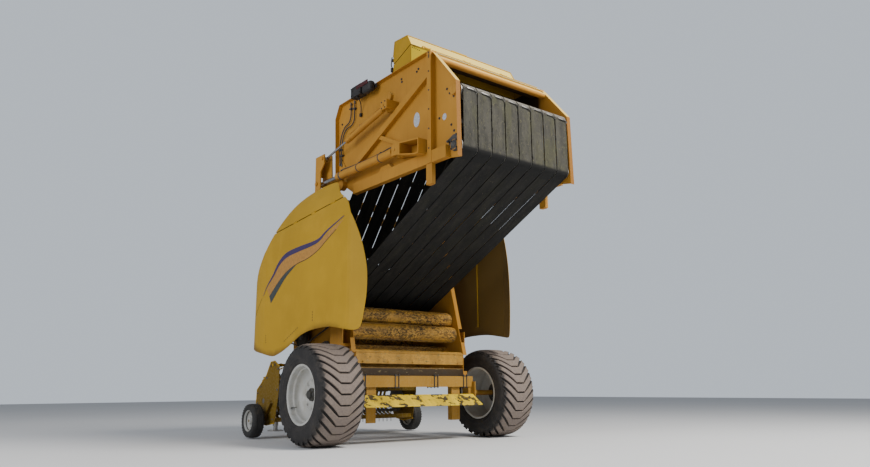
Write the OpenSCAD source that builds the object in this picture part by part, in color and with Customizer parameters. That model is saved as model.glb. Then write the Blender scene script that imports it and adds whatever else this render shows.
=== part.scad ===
// Round baler with its tailgate raised. X runs forward, Y to the left, Z up.
// The origin is on the ground at the middle of the whole outline.

/* [Chamber] */
// Clear width between the side walls
chamber_w = 1490; // [1400:10:1600]
// Thickness of the side sheets
sheet_t = 5; // [4:1:8]
// Number of belts side by side
belt_count = 8; // [6:1:8]
// Width of one belt
belt_w = 168; // [150:1:172]
// Distance from one belt to the next
belt_pitch = 181; // [178:1:183]
// Thickness of a belt
belt_t = 8; // [6:1:10]

/* [Tailgate] */
// Height of the tailgate pivot above the ground
pivot_z = 2860; // [2850:5:2875]
// Pivot in front of the wheel axle
pivot_x = 330; // [320:5:340]
// Height of the raised top edge
gate_top_z = 3855; // [3840:5:3880]
// Height of the raised lower edge
gate_low_z = 2678; // [2670:2:2690]
// Radius of the gate rollers
gate_roller_r = 70; // [60:2:74]

/* [Running gear] */
// Radius of the main tyres
tyre_r = 511; // [500:1:520]
// Width of the main tyres
tyre_w = 500; // [440:10:510]
// Outer face of the main tyres from the middle
tyre_out_y = 1420; // [1410:5:1440]
// Radius of the wheel rim flange
rim_r = 300; // [290:1:310]

/* [Pickup] */
// Width of the pickup between its side plates
pickup_w = 1990; // [1960:10:2000]
// Radius of the circle of the tine tips
tine_tip_r = 295; // [280:5:300]
// Number of tine bars
tine_bars = 5; // [4:1:6]
// Tine fingers along one bar
tine_fingers = 28; // [20:2:28]

/* [Drawbar] */
// Hitch pin in front of the wheel axle
hitch_x = 3350; // [3250:10:3450]
// Height of the middle of the hitch clevis
hitch_z = 430; // [410:5:460]
// Hitch pin hole
hitch_pin_d = 33; // [32:0.5:36]

/* [Hidden] */
$fn = 48;
rear_x = -1768;
ox = -(hitch_x + 55 + rear_x) / 2;
half = chamber_w / 2;
wall = half + sheet_t;
hx = pivot_x;
hz = pivot_z;
yellow = [0.86, 0.62, 0.10];
ochre = [0.78, 0.52, 0.13];
steel = [0.55, 0.55, 0.56];
dark = [0.10, 0.10, 0.11];
black = [0.04, 0.04, 0.045];
white = [0.85, 0.85, 0.82];
red = [0.65, 0.05, 0.04];

// the four rollers that the belts run round: x, z, radius
r_top = [-1682, 3330, gate_roller_r];
r_low = [-1682, 2782, gate_roller_r];
r_fore = [1170, 1363, 87];
// height of the roll under the front roller, clear of it
fore_roll_z = r_fore[1] - 198;
r_lift = [-600, 3621, gate_roller_r];

// pins of the cylinders: x, z
pin_gate = [-893, 2919];
pin_frame = [700, 2930];
pin_t_gate = [-689, 3465];
pin_t_frame = [575, 3215];
cyl_y = 860;

// fixed rolls of the chamber: x, z, radius
rolls = [[290, 1377, 88], [215, 1195, 95], [560, 985, 105], [985, 880, 105],
    [1085, fore_roll_z, 84]];

// helpers

module side(s) {
    if (s > 0) children();
    else mirror([0, 1, 0]) children();
}

module both() {
    children();
    mirror([0, 1, 0]) children();
}

// a flat outline of x and z, from y0 out to y1
module slab(pts, y0, y1) {
    translate([0, y1, 0]) rotate([90, 0, 0]) linear_extrude(y1 - y0) polygon(pts);
}

module disc_y(x, z, r, y0, y1) {
    translate([x, y1, z]) rotate([90, 0, 0]) cylinder(h = y1 - y0, r = r);
}

// box section from point p to point q, w across and h high
module bar(p, q, w, h) {
    v = q - p;
    l = norm(v);
    translate(p) rotate([0, -asin(v[2] / l), atan2(v[1], v[0])])
        translate([0, -w / 2, -h / 2]) cube([l, w, h]);
}

module rod(p, q, r) {
    v = q - p;
    l = norm(v);
    translate(p) rotate([0, acos(v[2] / l), atan2(v[1], v[0])]) cylinder(h = l, r = r);
}

module box(a, b) {
    translate(a) cube(b - a);
}

// closed smooth curve through the points, n steps for each
function knot(p, i) = p[(i + len(p)) % len(p)];
function spline(a, b, c, d, t) = 0.5 * ((2 * b) + (c - a) * t
    + (2 * a - 5 * b + 4 * c - d) * t * t + (3 * b - a - 3 * c + d) * t * t * t);
function smooth(p, n) = [for (i = [0 : len(p) - 1]) for (k = [0 : n - 1])
    spline(knot(p, i - 1), knot(p, i), knot(p, i + 1), knot(p, i + 2), k / n)];

// outline of the raised gate wall: x, z
gate_pts = [[455, 2971], [488, 3700], [404, gate_top_z - 4], [-1337, gate_top_z + 6],
    [-1410, gate_top_z - 46], [-1746, 3401], [-1761, 2650], [-1600, gate_low_z],
    [52, gate_low_z]];

// side walls of the front chamber

wall_pts = [[20, 950], [523, 2813], [570, 2870], [1000, 2880], [1240, 2760], [1440, 2440],
    [1500, 2000], [1480, 1400], [1450, 1020], [1400, 760], [1240, 700], [20, 700]];

// flange of width w along the outline from point a to point b, sunk into the sheet
module edge(a, b, w, t) bar([a[0], wall + w / 2 - 2, a[1]], [b[0], wall + w / 2 - 2, b[1]], w, t);

// strip of thickness t that follows the open outline p with mitred corners
function across(a, b) = [a[1] - b[1], b[0] - a[0]] / norm(b - a);
function beside(p, i, d) = i == 0 ? p[0] + across(p[0], p[1]) * d
    : i == len(p) - 1 ? p[i] + across(p[i - 1], p[i]) * d
    : let (m = across(p[i - 1], p[i]) + across(p[i], p[i + 1])) p[i] + m * (2 * d / (m * m));
module strip(p, t, y0, y1) {
    n = len(p) - 1;
    slab(concat([for (i = [0 : n]) beside(p, i, t / 2)],
        [for (i = [n : -1 : 0]) beside(p, i, -t / 2)]), y0, y1);
}

module wall_sheet() {
    slab(wall_pts, half, wall);
    strip([for (i = [0 : 7]) wall_pts[i]], 6, wall - 2, wall + 50);
    // sill, upright ribs and the long rib
    edge([26, 732], [1225, 732], 60, 58);
    edge([262, 742], [545, 2690], 46, 66);
    edge([1186, 740], [1186, 2750], 46, 58);
    edge([345, 1262], [1470, 1497], 42, 48);
    // latch catch behind the wheel
    difference() {
        box([120, wall - 1, 1010], [380, wall + 110, 1230]);
        box([100, wall + 4, 1040], [352, wall + 98, 1260]);
    }
}

// gap in the rear flange where the latch leg passes
module latch_notch() box([50, wall + 3, 1100], [119, wall + 60, 1264]);

module frame_wall() {
    difference() {
        wall_sheet();
        // shaft holes and seats of the sprocket hubs
        for (r = rolls) disc_y(r[0], r[1], 30.2, half - 5, wall + 5);
        disc_y(r_fore[0], r_fore[1], 28.2, half - 5, wall + 5);
        disc_y(lift_x, lift_z, 20.05, half - 5, wall + 80);
        for (s = sprockets) disc_y(s[0], s[1], 36, wall, wall + 70);
        disc_y(sprockets[0][0], sprockets[0][1], 28.2, half - 5, wall + 5);
        latch_notch();
    }
    // carrier and plates of the pivot and of the cylinder pins
    box([590, wall - 2, 2700], [735, 794, 2850]);
    difference() {
        union() {
            slab([[hx + 20, hz - 58], [600, 2700], [740, 2690], [740, 3262], [540, 3262],
                [520, 2980], [hx + 20, hz + 58]], 792, 808);
            disc_y(hx, hz, 75, 792, 808);
        }
        disc_y(hx, hz, 30.05, 785, 815);
    }
    slab([[620, 2800], [740, 2800], [740, 3262], [540, 3262], [540, 3140], [620, 3060]],
        892, 906);
    box([728, 807, 3030], [740, 893, 3261]);
    box([728, 807, 2801], [740, 893, 2830]);
    // heads of the pins, outside the plates
    for (y = [[779, 793], [905, 920]]) {
        disc_y(pin_frame[0], pin_frame[1], 24, y[0], y[1]);
        disc_y(pin_t_frame[0], pin_t_frame[1], 18, y[0], y[1]);
    }
}

module side_wall_left() color(ochre) frame_wall();
module side_wall_right() color(ochre) side(-1) frame_wall();

module frame_cross_members() color(ochre) {
    w = half;
    // beams between the walls
    box([1240, -w, 1020], [1360, w, 1140]);
    box([1180, -w, 2700], [1260, w, 2780]);
    box([900, -w, 2790], [980, w, 2870]);
    // lower rear panel with its ridge
    box([24, -w, 832], [40, w, 966]);
    bar([32, 0, 958], [62, 0, 978], 2 * w, 10);
    box([24, -w, 700], [120, w, 790]);
    // floor of the chamber between the rolls
    bar([330, 0, 1048], [440, 0, 990], 2 * w, 5);
    bar([680, 0, 905], [865, 0, 860], 2 * w, 5);
    box([640, -w, 700], [740, w, 800]);
}

module front_panel() color(yellow) {
    w = half;
    bar([1478, 0, 1480], [1496, 0, 1960], 2 * w - 20, 4);
    for (y = [-w + 60, -250, 250, w - 60]) bar([1470, y, 1490], [1488, y, 1950], 40, 30);
    bar([1450, 0, 2300], [1440, 0, 2430], 2 * w - 20, 4);
    bar([1452, 0, 2280], [1452, 0, 2310], 2 * w, 30);
    bar([1485, 0, 1955], [1485, 0, 1985], 2 * w, 30);
    bar([1467, 0, 1450], [1470, 0, 1488], 2 * w, 30);
}

// axle

hub_y = tyre_out_y - 165;
// pivot of the ramp: x, z
ramp_pin = [-75, 430];

module axle_beam() color(ochre) {
    difference() {
        box([-60, -820, 580], [60, 820, 700]);
        box([-52, -810, 588], [52, 810, 692]);
    }
    both() {
        box([-50, 760, 440], [60, 819, 699]);
        difference() {
            box([-110, 806, 395], [-40, 820, 640]);
            disc_y(ramp_pin[0], ramp_pin[1], 20.05, 800, 830);
        }
        disc_y(0, tyre_r, 45, 800, 900);
        disc_y(0, tyre_r, 30, 880, hub_y - 22);
        // posts of the ramp
        box([-30, 520, 210], [-18, 640, 590]);
        box([-30, 520, 210], [40, 532, 590]);
    }
}

// rolls

module chamber_rolls() color(steel) {
    for (r = rolls) {
        difference() {
            disc_y(r[0], r[1], r[2] - 5, -half + 8, half - 8);
            disc_y(r[0], r[1], r[2] - 12, -half + 30, half - 30);
        }
        disc_y(r[0], r[1], 30, -wall, wall);
        for (a = [0 : 45 : 315])
            translate([r[0], 0, r[1]]) rotate([0, a, 0])
                box([r[2] - 8, -half + 10, -5], [r[2], half - 10, 5]);
    }
}

module front_belt_roller() color(steel) {
    disc_y(r_fore[0], r_fore[1], r_fore[2], -half + 10, half - 10);
    disc_y(r_fore[0], r_fore[1], 28, -wall, wall);
}

// drawbar

pto_a = [1640, 0, 1080];
pto_b = [3230, 0, 720];
// underside of the guard tube where it lies on its rest
rest_z = pto_a[2] + (pto_b[2] - pto_a[2]) * (2860 - pto_a[0]) / (pto_b[0] - pto_a[0]) - 39;

module tongue() color(ochre) {
    both() {
        translate([0, 0, 1020]) linear_extrude(120)
            polygon([[1360, 384], [2080, 285], [2080, 375], [1360, 474]]);
        bar([2050, 334, 1090], [3080, 66, 490], 90, 120);
    }
    box([2020, -330, 1042], [2100, 330, 1130]);
    box([3000, -110, 430], [3110, 110, 560]);
    box([2960, -100, 470], [3010, 100, 560]);
    // carrier of the jack
    box([2900, 110, 500], [2960, 185, 600]);
    // rest of the driveline
    for (y = [-60, 60]) box([2845, y - 7, 560], [2875, y + 7, rest_z]);
    box([2840, -112, 560], [2880, 112, 590]);
    box([2844, -68, rest_z - 13], [2876, 68, rest_z]);
}

module hitch_clevis() color(dark) {
    difference() {
        union() {
            box([3110, -60, hitch_z - 62], [3180, 60, hitch_z + 62]);
            for (z = [hitch_z - 60, hitch_z + 36]) {
                box([3150, -45, z], [hitch_x, 45, z + 24]);
                translate([hitch_x, 0, z]) cylinder(h = 24, r = 45);
            }
        }
        translate([hitch_x, 0, hitch_z - 80]) cylinder(h = 160, r = hitch_pin_d / 2);
    }
}

jack_x = 2930;
jack_y = 230;
// travel of the jack, underside of its tube, thickness of the foot and top of the leg
jack_travel = 300;
jack_foot = 12;
jack_low = jack_travel + jack_foot + 8;
jack_bore_top = 750;
leg_top = jack_bore_top - jack_travel - 12;

module jack_tube() color(dark) translate([jack_x, jack_y, 0]) {
    difference() {
        translate([0, 0, jack_low]) cylinder(h = jack_bore_top + 30 - jack_low, r = 38);
        translate([0, 0, jack_low - 10]) cylinder(h = jack_bore_top + 10 - jack_low, r = 30.05);
    }
    box([-30, -45, 500], [30, -36, 600]);
    translate([0, 0, jack_bore_top + 30]) cylinder(h = 30, r = 22);
    rod([0, 0, 800], [0, 110, 800], 8);
    rod([0, 108, 800], [0, 108, 880], 10);
}

module jack_leg() color(steel) translate([jack_x, jack_y, 0]) {
    cylinder(h = jack_foot, r = 110);
    difference() {
        translate([0, 0, 8]) cylinder(h = leg_top - 8, r = 30);
        translate([0, 0, 30]) cylinder(h = leg_top, r = 25);
    }
}

// drive

module gearbox() color(dark) {
    box([1364, -150, 970], [1570, 150, 1215]);
    rod(pto_a - unit(pto_b - pto_a) * 78, pto_a, 45);
    rod([sprockets[0][0], 140, sprockets[0][1]], [sprockets[0][0], wall, sprockets[0][1]], 28);
    box([1360, -120, 1030], [1366, 120, 1130]);
}

// driveline: radius of its tube, of its thinner half, of its ends and of the guard bells
tube_r = 40;
tube_in_r = 34;
yoke_r = 38;
bell_r = 74;
bell_gap = 0.3;

module pto_shaft() color(black) {
    u = unit(pto_b - pto_a);
    // tube and ends
    rod(pto_a + u * 0.2, pto_a + u * 60, yoke_r);
    rod(pto_a + u * 50, pto_a + u * 800, tube_r);
    rod(pto_a + u * 780, pto_b - u * 70, tube_in_r);
    difference() {
        rod(pto_b - u * 80, pto_b, yoke_r);
        rod(pto_b - u * 60, pto_b + u * 10, 17.6);
    }
    // guard bells, seated on the tube and on the far end
    difference() {
        rod(pto_a + u * 40, pto_a + u * 190, bell_r);
        rod(pto_a + u * 30, pto_a + u * 200, tube_r + bell_gap);
    }
    difference() {
        rod(pto_b - u * 200, pto_b - u * 60, bell_r - 2);
        rod(pto_b - u * 210, pto_b - u * 50, yoke_r + bell_gap);
    }
}

// sprockets on the left wall: x, z, radius
sprockets = [[1405, 1172, 62], [1085, fore_roll_z, 120], [985, 880, 100], [560, 985, 100],
    [290, 1377, 80]];
// chains: the two sprockets and the place of the chain across
chains = [[0, 1, 0], [1, 2, 1], [2, 3, 0], [1, 4, 2]];
chain_gap = 16;

module two_circles(a, b, t) {
    for (c = [a, b]) translate([c[0], c[1]]) circle(r = c[2] + t);
    polygon(concat(leave(a, b, t), leave(b, a, t)));
}

module chain_drive() color(steel) {
    y = wall + 52;
    for (s = sprockets) disc_y(s[0], s[1], 34, wall, y + 44);
    for (c = chains) {
        a = sprockets[c[0]];
        b = sprockets[c[1]];
        y0 = y + c[2] * chain_gap;
        for (s = [a, b]) disc_y(s[0], s[1], s[2], y0, y0 + 6);
        translate([0, y0 + 9, 0]) rotate([90, 0, 0]) linear_extrude(12) difference() {
            two_circles(a, b, 7);
            two_circles(a, b, -7);
        }
    }
}

// side shields and the caps over them

section_pts = smooth([[1100, 1000], [1100, 1500], [1100, 2000], [1095, 2240], [1080, 2400],
    [1045, 2550], [1000, 2690], [952, 2790], [905, 2870], [850, 2915], [700, 2915], [690, 2000],
    [700, 850], [1090, 850]], 3);
plan_pts = smooth([[-560, 985], [-450, 1050], [-345, 1096], [-200, 1108], [400, 1110],
    [1200, 1108], [1650, 1096], [1880, 1066], [2010, 1010], [2060, 940], [2060, 700],
    [700, 690], [-600, 700], [-600, 940]], 3);
shield_pts = smooth([[200, 2830], [550, 2842], [850, 2797], [1080, 2702], [1300, 2542],
    [1520, 2332], [1690, 2170], [1850, 2010], [1960, 1830], [2018, 1600], [2022, 1330],
    [1990, 1120], [1900, 1044], [1550, 980], [1290, 942], [1130, 964], [890, 1040],
    [640, 1136], [435, 1180], [200, 1197], [-40, 1194], [-270, 1160], [-420, 1138],
    [-492, 1165], [-520, 1280], [-545, 1460], [-553, 1650], [-540, 1830], [-492, 2055],
    [-407, 2288], [-312, 2455], [-205, 2548], [-60, 2632], [70, 2752]], 3);

function pulled(p, t) = [for (q = p) [q[0], q[1] - t]];
function pulled_x(p, t) = [for (q = p) [q[0] - t, q[1]]];

module shield_body(t) intersection() {
    translate([-720, 0, 0]) rotate([90, 0, 90]) linear_extrude(2900)
        polygon(pulled_x(section_pts, t));
    translate([0, 0, 850]) linear_extrude(2060) polygon(pulled(plan_pts, t));
}

module shield_shell() intersection() {
    difference() {
        shield_body(0);
        shield_body(4);
    }
    slab(shield_pts, 780, 1140);
}

// height of the line between cap and shield
function split_z(x) = 2556 - 0.085 * x;

module above_line(gap) {
    slab([[-900, split_z(-900) + gap], [2300, split_z(2300) + gap], [2300, 3200],
        [-900, 3200]], 700, 1200);
}

// hinge of the shield below the cap: it follows the shell, which leans in to the rear
function hinge_y(x) = 1041.5 + 0.0215 * x;
// radius of its pin and of its knuckles, and their places along it
hinge_r = 5;
knuckle_r = 9;
hinge_xs = [60, 480, 900];
module hinge_rod(x0, x1, r)
    rod([x0, hinge_y(x0), split_z(x0)], [x1, hinge_y(x1), split_z(x1)], r);

module cap_body() {
    difference() {
        intersection() {
            shield_shell();
            above_line(6);
        }
        for (x = hinge_xs) hinge_rod(x - 33, x + 33, knuckle_r + 4);
    }
    for (x = hinge_xs) {
        hinge_rod(x - 50, x + 50, hinge_r);
        for (s = [-42, 42]) hinge_rod(x + s - 8, x + s + 8, knuckle_r);
    }
    // brackets that hold the cap on the wall
    for (x = [770, 1090]) box([x - 15, wall, 2655], [x + 15, 1008, 2668]);
}

module shield_piece() {
    difference() {
        union() {
            difference() {
                shield_shell();
                above_line(-6);
            }
            for (x = hinge_xs) hinge_rod(x - 30, x + 30, knuckle_r);
        }
        for (x = hinge_xs) {
            hinge_rod(x - 52, x + 52, hinge_r + 0.05);
            for (s = [-42, 42]) hinge_rod(x + s - 11, x + s + 11, knuckle_r + 4);
        }
    }
    // stiffeners on the inside
    for (x = [150, 1000]) box([x - 20, 1082, 1300], [x + 20, 1098, 2100]);
}

module side_cap_left() color(yellow) cap_body();
module side_cap_right() color(yellow) side(-1) cap_body();
module side_shield_left() color(yellow) shield_piece();
module side_shield_right() color(yellow) side(-1) shield_piece();

// pickup

reel_x = 1700;
reel_z = 430;
lift_x = 1330;
lift_z = 790;
band_r = 212;
finger_pitch = 64;
gauge_y = pickup_w / 2 + 155;
gauge_x = 1640;
gauge_r = 195;
gauge_z = 205;

module pickup_frame() color(yellow) {
    h = pickup_w / 2;
    both() {
        difference() {
            slab([[1300, 520], [1300, 830], [1430, 895], [1530, 885], [1640, 730], [1890, 560],
                [1900, 380], [1780, 180], [1600, 150], [1380, 180]], h, h + 6);
            disc_y(reel_x, reel_z, 30.05, h - 5, h + 12);
            disc_y(guard_x, guard_z, 16.05, h - 5, h + 12);
        }
        // arm that carries the pickup on the chamber wall
        bar([lift_x, half - 60, lift_z], [1335, half - 60, 560], 30, 50);
        // arm and stub axle of the gauge wheel
        bar([1450, h + 24, 420], [gauge_x, h + 24, gauge_z], 40, 50);
        disc_y(gauge_x, gauge_z, 16, h + 10, gauge_y + 50);
        // auger covers beside the throat
        box([1330, 762, 697], [1560, h + 2, 703]);
    }
    box([1395, -h - 1, 190], [1440, h + 1, 240]);
    box([1320, -h - 1, 540], [1365, h + 1, 590]);
    rod([lift_x, -wall, lift_z], [lift_x, wall, lift_z], 20);
}

module stripper_bands() color(yellow) {
    w = 42;
    y0 = -(tine_fingers / 2) * finger_pitch;
    top = reel_z + band_r;
    low = reel_z - band_r;
    box([1365, y0 - 24, 548], [1380, -y0 + 24, top]);
    box([1440, y0 - 24, low - 12], [1456, -y0 + 24, low + 3]);
    for (i = [0 : tine_fingers])
        translate([0, y0 + i * finger_pitch, 0]) {
            difference() {
                disc_y(reel_x, reel_z, band_r, -w / 2, w / 2);
                disc_y(reel_x, reel_z, band_r - 3, -w / 2 - 1, w / 2 + 1);
                box([1400, -w, 200], [reel_x, w, 660]);
            }
            box([1372, -w / 2, top - 3], [reel_x + 1, w / 2, top]);
            box([1448, -w / 2, low], [reel_x + 1, w / 2, low + 3]);
        }
}

module pickup_reel() color(dark) {
    h = pickup_w / 2;
    disc_y(reel_x, reel_z, 30, -h - 5, h + 5);
    both() disc_y(reel_x, reel_z, 165, h - 40, h - 34);
    for (b = [0 : tine_bars - 1])
        translate([reel_x, 0, reel_z]) rotate([0, b * 360 / tine_bars + 20, 0]) {
            disc_y(150, 0, 16, -h + 36, h - 36);
            for (f = [0 : tine_fingers - 1])
                translate([0, (f - (tine_fingers - 1) / 2) * finger_pitch, 0])
                    rod([145, 0, 0], [tine_tip_r, 0, 0], 4);
        }
}

guard_x = 1480;
guard_z = 850;

module wind_guard() color(yellow) {
    h = pickup_w / 2 - 60;
    rod([guard_x, -h - 66, guard_z], [guard_x, h + 66, guard_z], 16);
    rod([1930, -h + 30, 709], [1930, h - 30, 709], 10);
    for (i = [-8 : 8]) {
        y = i * (h - 40) / 8;
        rod([guard_x, y, guard_z], [1700, y, 815], 6);
        disc_y(1700, 815, 9, y - 7, y + 7);
        rod([1700, y, 815], [1985, y, 670], 5);
    }
}

module gauge_wheel(s) side(s) translate([gauge_x, gauge_y, gauge_z]) rotate([90, 0, 0]) {
    color(black) difference() {
        rotate_extrude() polygon([[120, -62], [150, -70], [180, -64], [gauge_r, -46],
            [gauge_r, 46], [180, 64], [150, 70], [120, 62], [105, 40], [105, -40]]);
        cylinder(h = 10, r = 5, center = true);
    }
    color(white) rotate_extrude() polygon([[16.05, -50], [40, -50], [40, -20], [105, -14],
        [118, -60], [122, -60], [122, -38], [108, -38], [108, 38], [122, 38], [122, 60],
        [118, 60], [105, 14], [40, 20], [40, 30], [16.05, 30]]);
}

module gauge_wheel_left() gauge_wheel(1);
module gauge_wheel_right() gauge_wheel(-1);

// wheels

module tyre(s) color(black) side(s) translate([0, tyre_out_y - tyre_w / 2, tyre_r])
    rotate([90, 0, 0]) rotate_extrude($fn = 96) polygon([[rim_r - 12, -tyre_w / 2 + 34],
        [rim_r + 1, -tyre_w / 2 + 33], [rim_r + 8, -tyre_w / 2 + 18], [rim_r + 60, -tyre_w / 2 + 2],
        [rim_r + 110, -tyre_w / 2], [tyre_r - 50, -tyre_w / 2 + 8],
        [tyre_r - 22, -tyre_w / 2 + 28], [tyre_r - 6, -tyre_w / 2 + 90], [tyre_r, 0],
        [tyre_r - 6, tyre_w / 2 - 90], [tyre_r - 22, tyre_w / 2 - 28],
        [tyre_r - 50, tyre_w / 2 - 8], [rim_r + 110, tyre_w / 2],
        [rim_r + 60, tyre_w / 2 - 2], [rim_r + 8, tyre_w / 2 - 18],
        [rim_r + 1, tyre_w / 2 - 33], [rim_r - 12, tyre_w / 2 - 34]]);

module rim(s) side(s) translate([0, 0, tyre_r]) {
    b = tyre_out_y - 22;
    color(white) translate([0, b, 0]) rotate([90, 0, 0]) rotate_extrude($fn = 96)
        polygon([[rim_r, 0], [rim_r, 8], [rim_r - 12.2, 10], [rim_r - 12.2, tyre_w - 54],
            [rim_r, tyre_w - 52], [rim_r, tyre_w - 44], [rim_r - 20, tyre_w - 46],
            [rim_r - 20, 170], [150, 150], [60, 150], [60, 140], [150, 138],
            [rim_r - 46, 150], [rim_r - 46, 60], [rim_r - 24, 30], [rim_r - 20, 0]]);
    color(dark) translate([0, b - 90, 0]) rotate([90, 0, 0]) difference() {
        cylinder(h = 120, r = 62);
        translate([0, 0, 55]) cylinder(h = 80, r = 30.05);
    }
}

module tyre_left() tyre(1);
module tyre_right() tyre(-1);
module rim_left() rim(1);
module rim_right() rim(-1);

// ramp that pushes the finished load clear

module bale_ramp() color(yellow) {
    rod([ramp_pin[0], -832, ramp_pin[1]], [ramp_pin[0], 832, ramp_pin[1]], 20);
    bar([-92, 0, 490], [-250, 0, 384], 1590, 6);
    for (y = [-780, -260, 260, 780])
        slab([[-70, 412], [-70, 448], [-100, 482], [-240, 388], [-200, 380]], y - 6, y + 6);
}

// tailgate

module gate_wall() {
    difference() {
        slab(gate_pts, half, wall);
        disc_y(r_low[0], r_low[1], 60, half - 5, wall + 5);
    }
    slab([[52, gate_low_z], [hx - 60, hz - 50], [hx + 60, hz - 50], [455, 2971], [200, 3000]],
        half, wall);
    // pivot boss
    disc_y(hx, hz, 70, wall - 5, 786);
    disc_y(hx, hz, 30, wall, 809);
    // flanges round the edge
    strip([for (i = [0 : 6]) gate_pts[i]], 5, wall - 2, wall + 48);
    // channel along the lower edge
    difference() {
        box([-1598, wall - 1, gate_low_z + 1], [40, 808, gate_low_z + 122]);
        box([-1590, wall + 5, gate_low_z + 7], [30, 802, gate_low_z + 116]);
    }
    // upright post and its latch leg
    difference() {
        box([-1382, wall - 2, gate_low_z + 3], [-1318, 812, gate_top_z - 12]);
        box([-1376, wall + 6, gate_low_z + 10], [-1324, 805, gate_top_z - 20]);
    }
    box([-1380, 759, 2474], [-1290, 801, gate_low_z + 24]);
    // diagonal channel and short strut
    edge([67, 3006], [-1346, 3646], 54, 76);
    edge([-372, 3246], [-905, 2983], 42, 44);
    // bracket that holds the lift cylinder, open outward behind the pin
    difference() {
        slab([[-846, 2862], [-846, 2975], [-905, 2985], [-1300, 2932], [-1300, 2780],
            [-1230, 2780], [-930, 2856]], wall - 3, 906);
        slab([[-800, 2700], [-800, 3100], [-975, 3100], [-975, 2700]], 827, 893);
        slab([[-868, 2874], [-868, 2962], [-963, 2966], [-963, 2864]], wall + 5, 812);
        slab([[-987, 2962], [-1288, 2921], [-1288, 2792], [-1232, 2792], [-987, 2853]],
            wall + 5, 910);
    }
    disc_y(pin_gate[0], pin_gate[1], 16, 806, 912);
    // bracket that holds the tension cylinder
    for (y = [[wall - 2, 828], [892, 905]]) box([-745, y[0], 3420], [-640, y[1], 3520]);
    box([-752, wall - 2, 3421], [-738, 906, 3519]);
    disc_y(pin_t_gate[0], pin_t_gate[1], 12, 806, 912);
    // bearing housings of the rollers, the lowest on a strap across its cut-out
    for (r = [r_top, r_low, r_lift]) disc_y(r[0], r[1], 50, half + 1, wall + 30);
    box([r_low[0] - 75, wall - 2, r_low[1] - 14], [r_low[0] + 80, wall + 8, r_low[1] + 14]);
}

module gate_wall_left() color(ochre) gate_wall();
module gate_wall_right() color(ochre) side(-1) gate_wall();

// pipe across the rear corner: x, z, radius
pipe = [-1425, 3745, 34];

module gate_cross_members() color(ochre) {
    w = half;
    // pipe across the open rear corner
    rod([pipe[0], -w, pipe[1]], [pipe[0], w, pipe[1]], pipe[2]);
    // lip behind the roof
    bar([-1337, 0, gate_top_z + 2], [-1408, 0, gate_top_z - 48], 2 * w, 5);
    box([-1410, -w, gate_top_z - 74], [-1405, w, gate_top_z - 47]);
    // beams between the walls
    box([330, -w, 3700], [400, w, 3770]);
    box([-1330, -w, 3770], [-1250, w, gate_top_z]);
    box([-700, -w, 3790], [-640, w, gate_top_z]);
    rod([395, -w, 3060], [395, w, 3060], 34);
}

module gate_rollers() color(steel) {
    for (r = [r_top, r_low, r_lift]) {
        disc_y(r[0], r[1], r[2], -half + 14, half - 14);
        disc_y(r[0], r[1], 26, -half + 2, half - 2);
    }
}

// belts: the band round the four rollers, cut into the part on the gate and the rest

function unit(v) = v / norm(v);
// point on circle c where the band leaves towards circle d, on the left of the way
function leave(c, d, r) = let (v = [d[0] - c[0], d[1] - c[1]], l = norm(v),
    u = v / l, n = [-u[1], u[0]], s = (d[2] - c[2]) / l, k = sqrt(1 - s * s),
    m = n * k - u * s) [[c[0], c[1]] + m * (c[2] + r), [d[0], d[1]] + m * (d[2] + r)];

loop = [r_top, r_lift, r_fore, r_low];

module band_area(t) {
    for (i = [0 : 3]) {
        c = loop[i];
        translate([c[0], c[1]]) circle(r = c[2] + t, $fn = 96);
    }
    polygon([for (i = [0 : 3]) for (p = leave(loop[i], loop[(i + 1) % 4], t)) p]);
}

module band(t0, t1) difference() {
    band_area(t1);
    band_area(t0);
}

module gate_zone() polygon([[-2000, 2500], [-1665, 2500], [-1625, 2800], [-1000, 3200],
    [-700, 3480], [-500, 3560], [-400, 3700], [-500, 4000], [-2000, 4000]]);

module belt_set(gate_part) for (i = [0 : belt_count - 1])
    translate([0, (i - (belt_count - 1) / 2) * belt_pitch + belt_w / 2, 0])
        rotate([90, 0, 0]) linear_extrude(belt_w) {
            if (gate_part) intersection() {
                band(0.3, 0.3 + belt_t);
                gate_zone();
            }
            else difference() {
                band(0.3, 0.3 + belt_t);
                gate_zone();
            }
        }

module gate_belts() color(dark) belt_set(true);
module chamber_belts() color(black) belt_set(false);

// net box on the gate: outline x, z

// height of the top of the gate's upper flange, which falls towards the front
function flange_z(x) = gate_top_z + 6 - (x + 1337) * 10 / 1741 + 2.6;
box_pts = [[-974, 4088], [-690, 3981], [-660, 3975], [-650, flange_z(-650)],
    [-960, flange_z(-960)]];
lid_pts = [[-974, 4098], [-909, 4218], [-680, 4236], [-655, 4067], [-662, 3985], [-690, 3991]];

// hinge of the lid: x, z, pin radius, and the places of its knuckles across
lid_hinge = [-990, 4097, 8];
knuckles = [-560, 0, 560];

module net_box() color(ochre) {
    w = half + 10;
    difference() {
        slab(box_pts, -w, w);
        slab([[-958, 4120], [-668, 4120], [-656, gate_top_z + 14], [-954, gate_top_z + 14]],
            -w + 5, w - 5);
    }
    bar([-978, 0, 4080], [-1331, 0, 3874], 2 * w, 5);
    both() slab([[-965, 4082], [-1326, 3876], [-1326, flange_z(-1326)], [-955, flange_z(-955)]],
        w - 6, w - 1);
    for (y = knuckles) {
        disc_y(lid_hinge[0], lid_hinge[1], lid_hinge[2], y - 55, y + 55);
        for (s = [-1, 1]) box([lid_hinge[0] - 10, y + s * 46 - 9, 4062],
            [lid_hinge[0] + 10, y + s * 46 + 9, lid_hinge[1] + 10]);
    }
}

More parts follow.
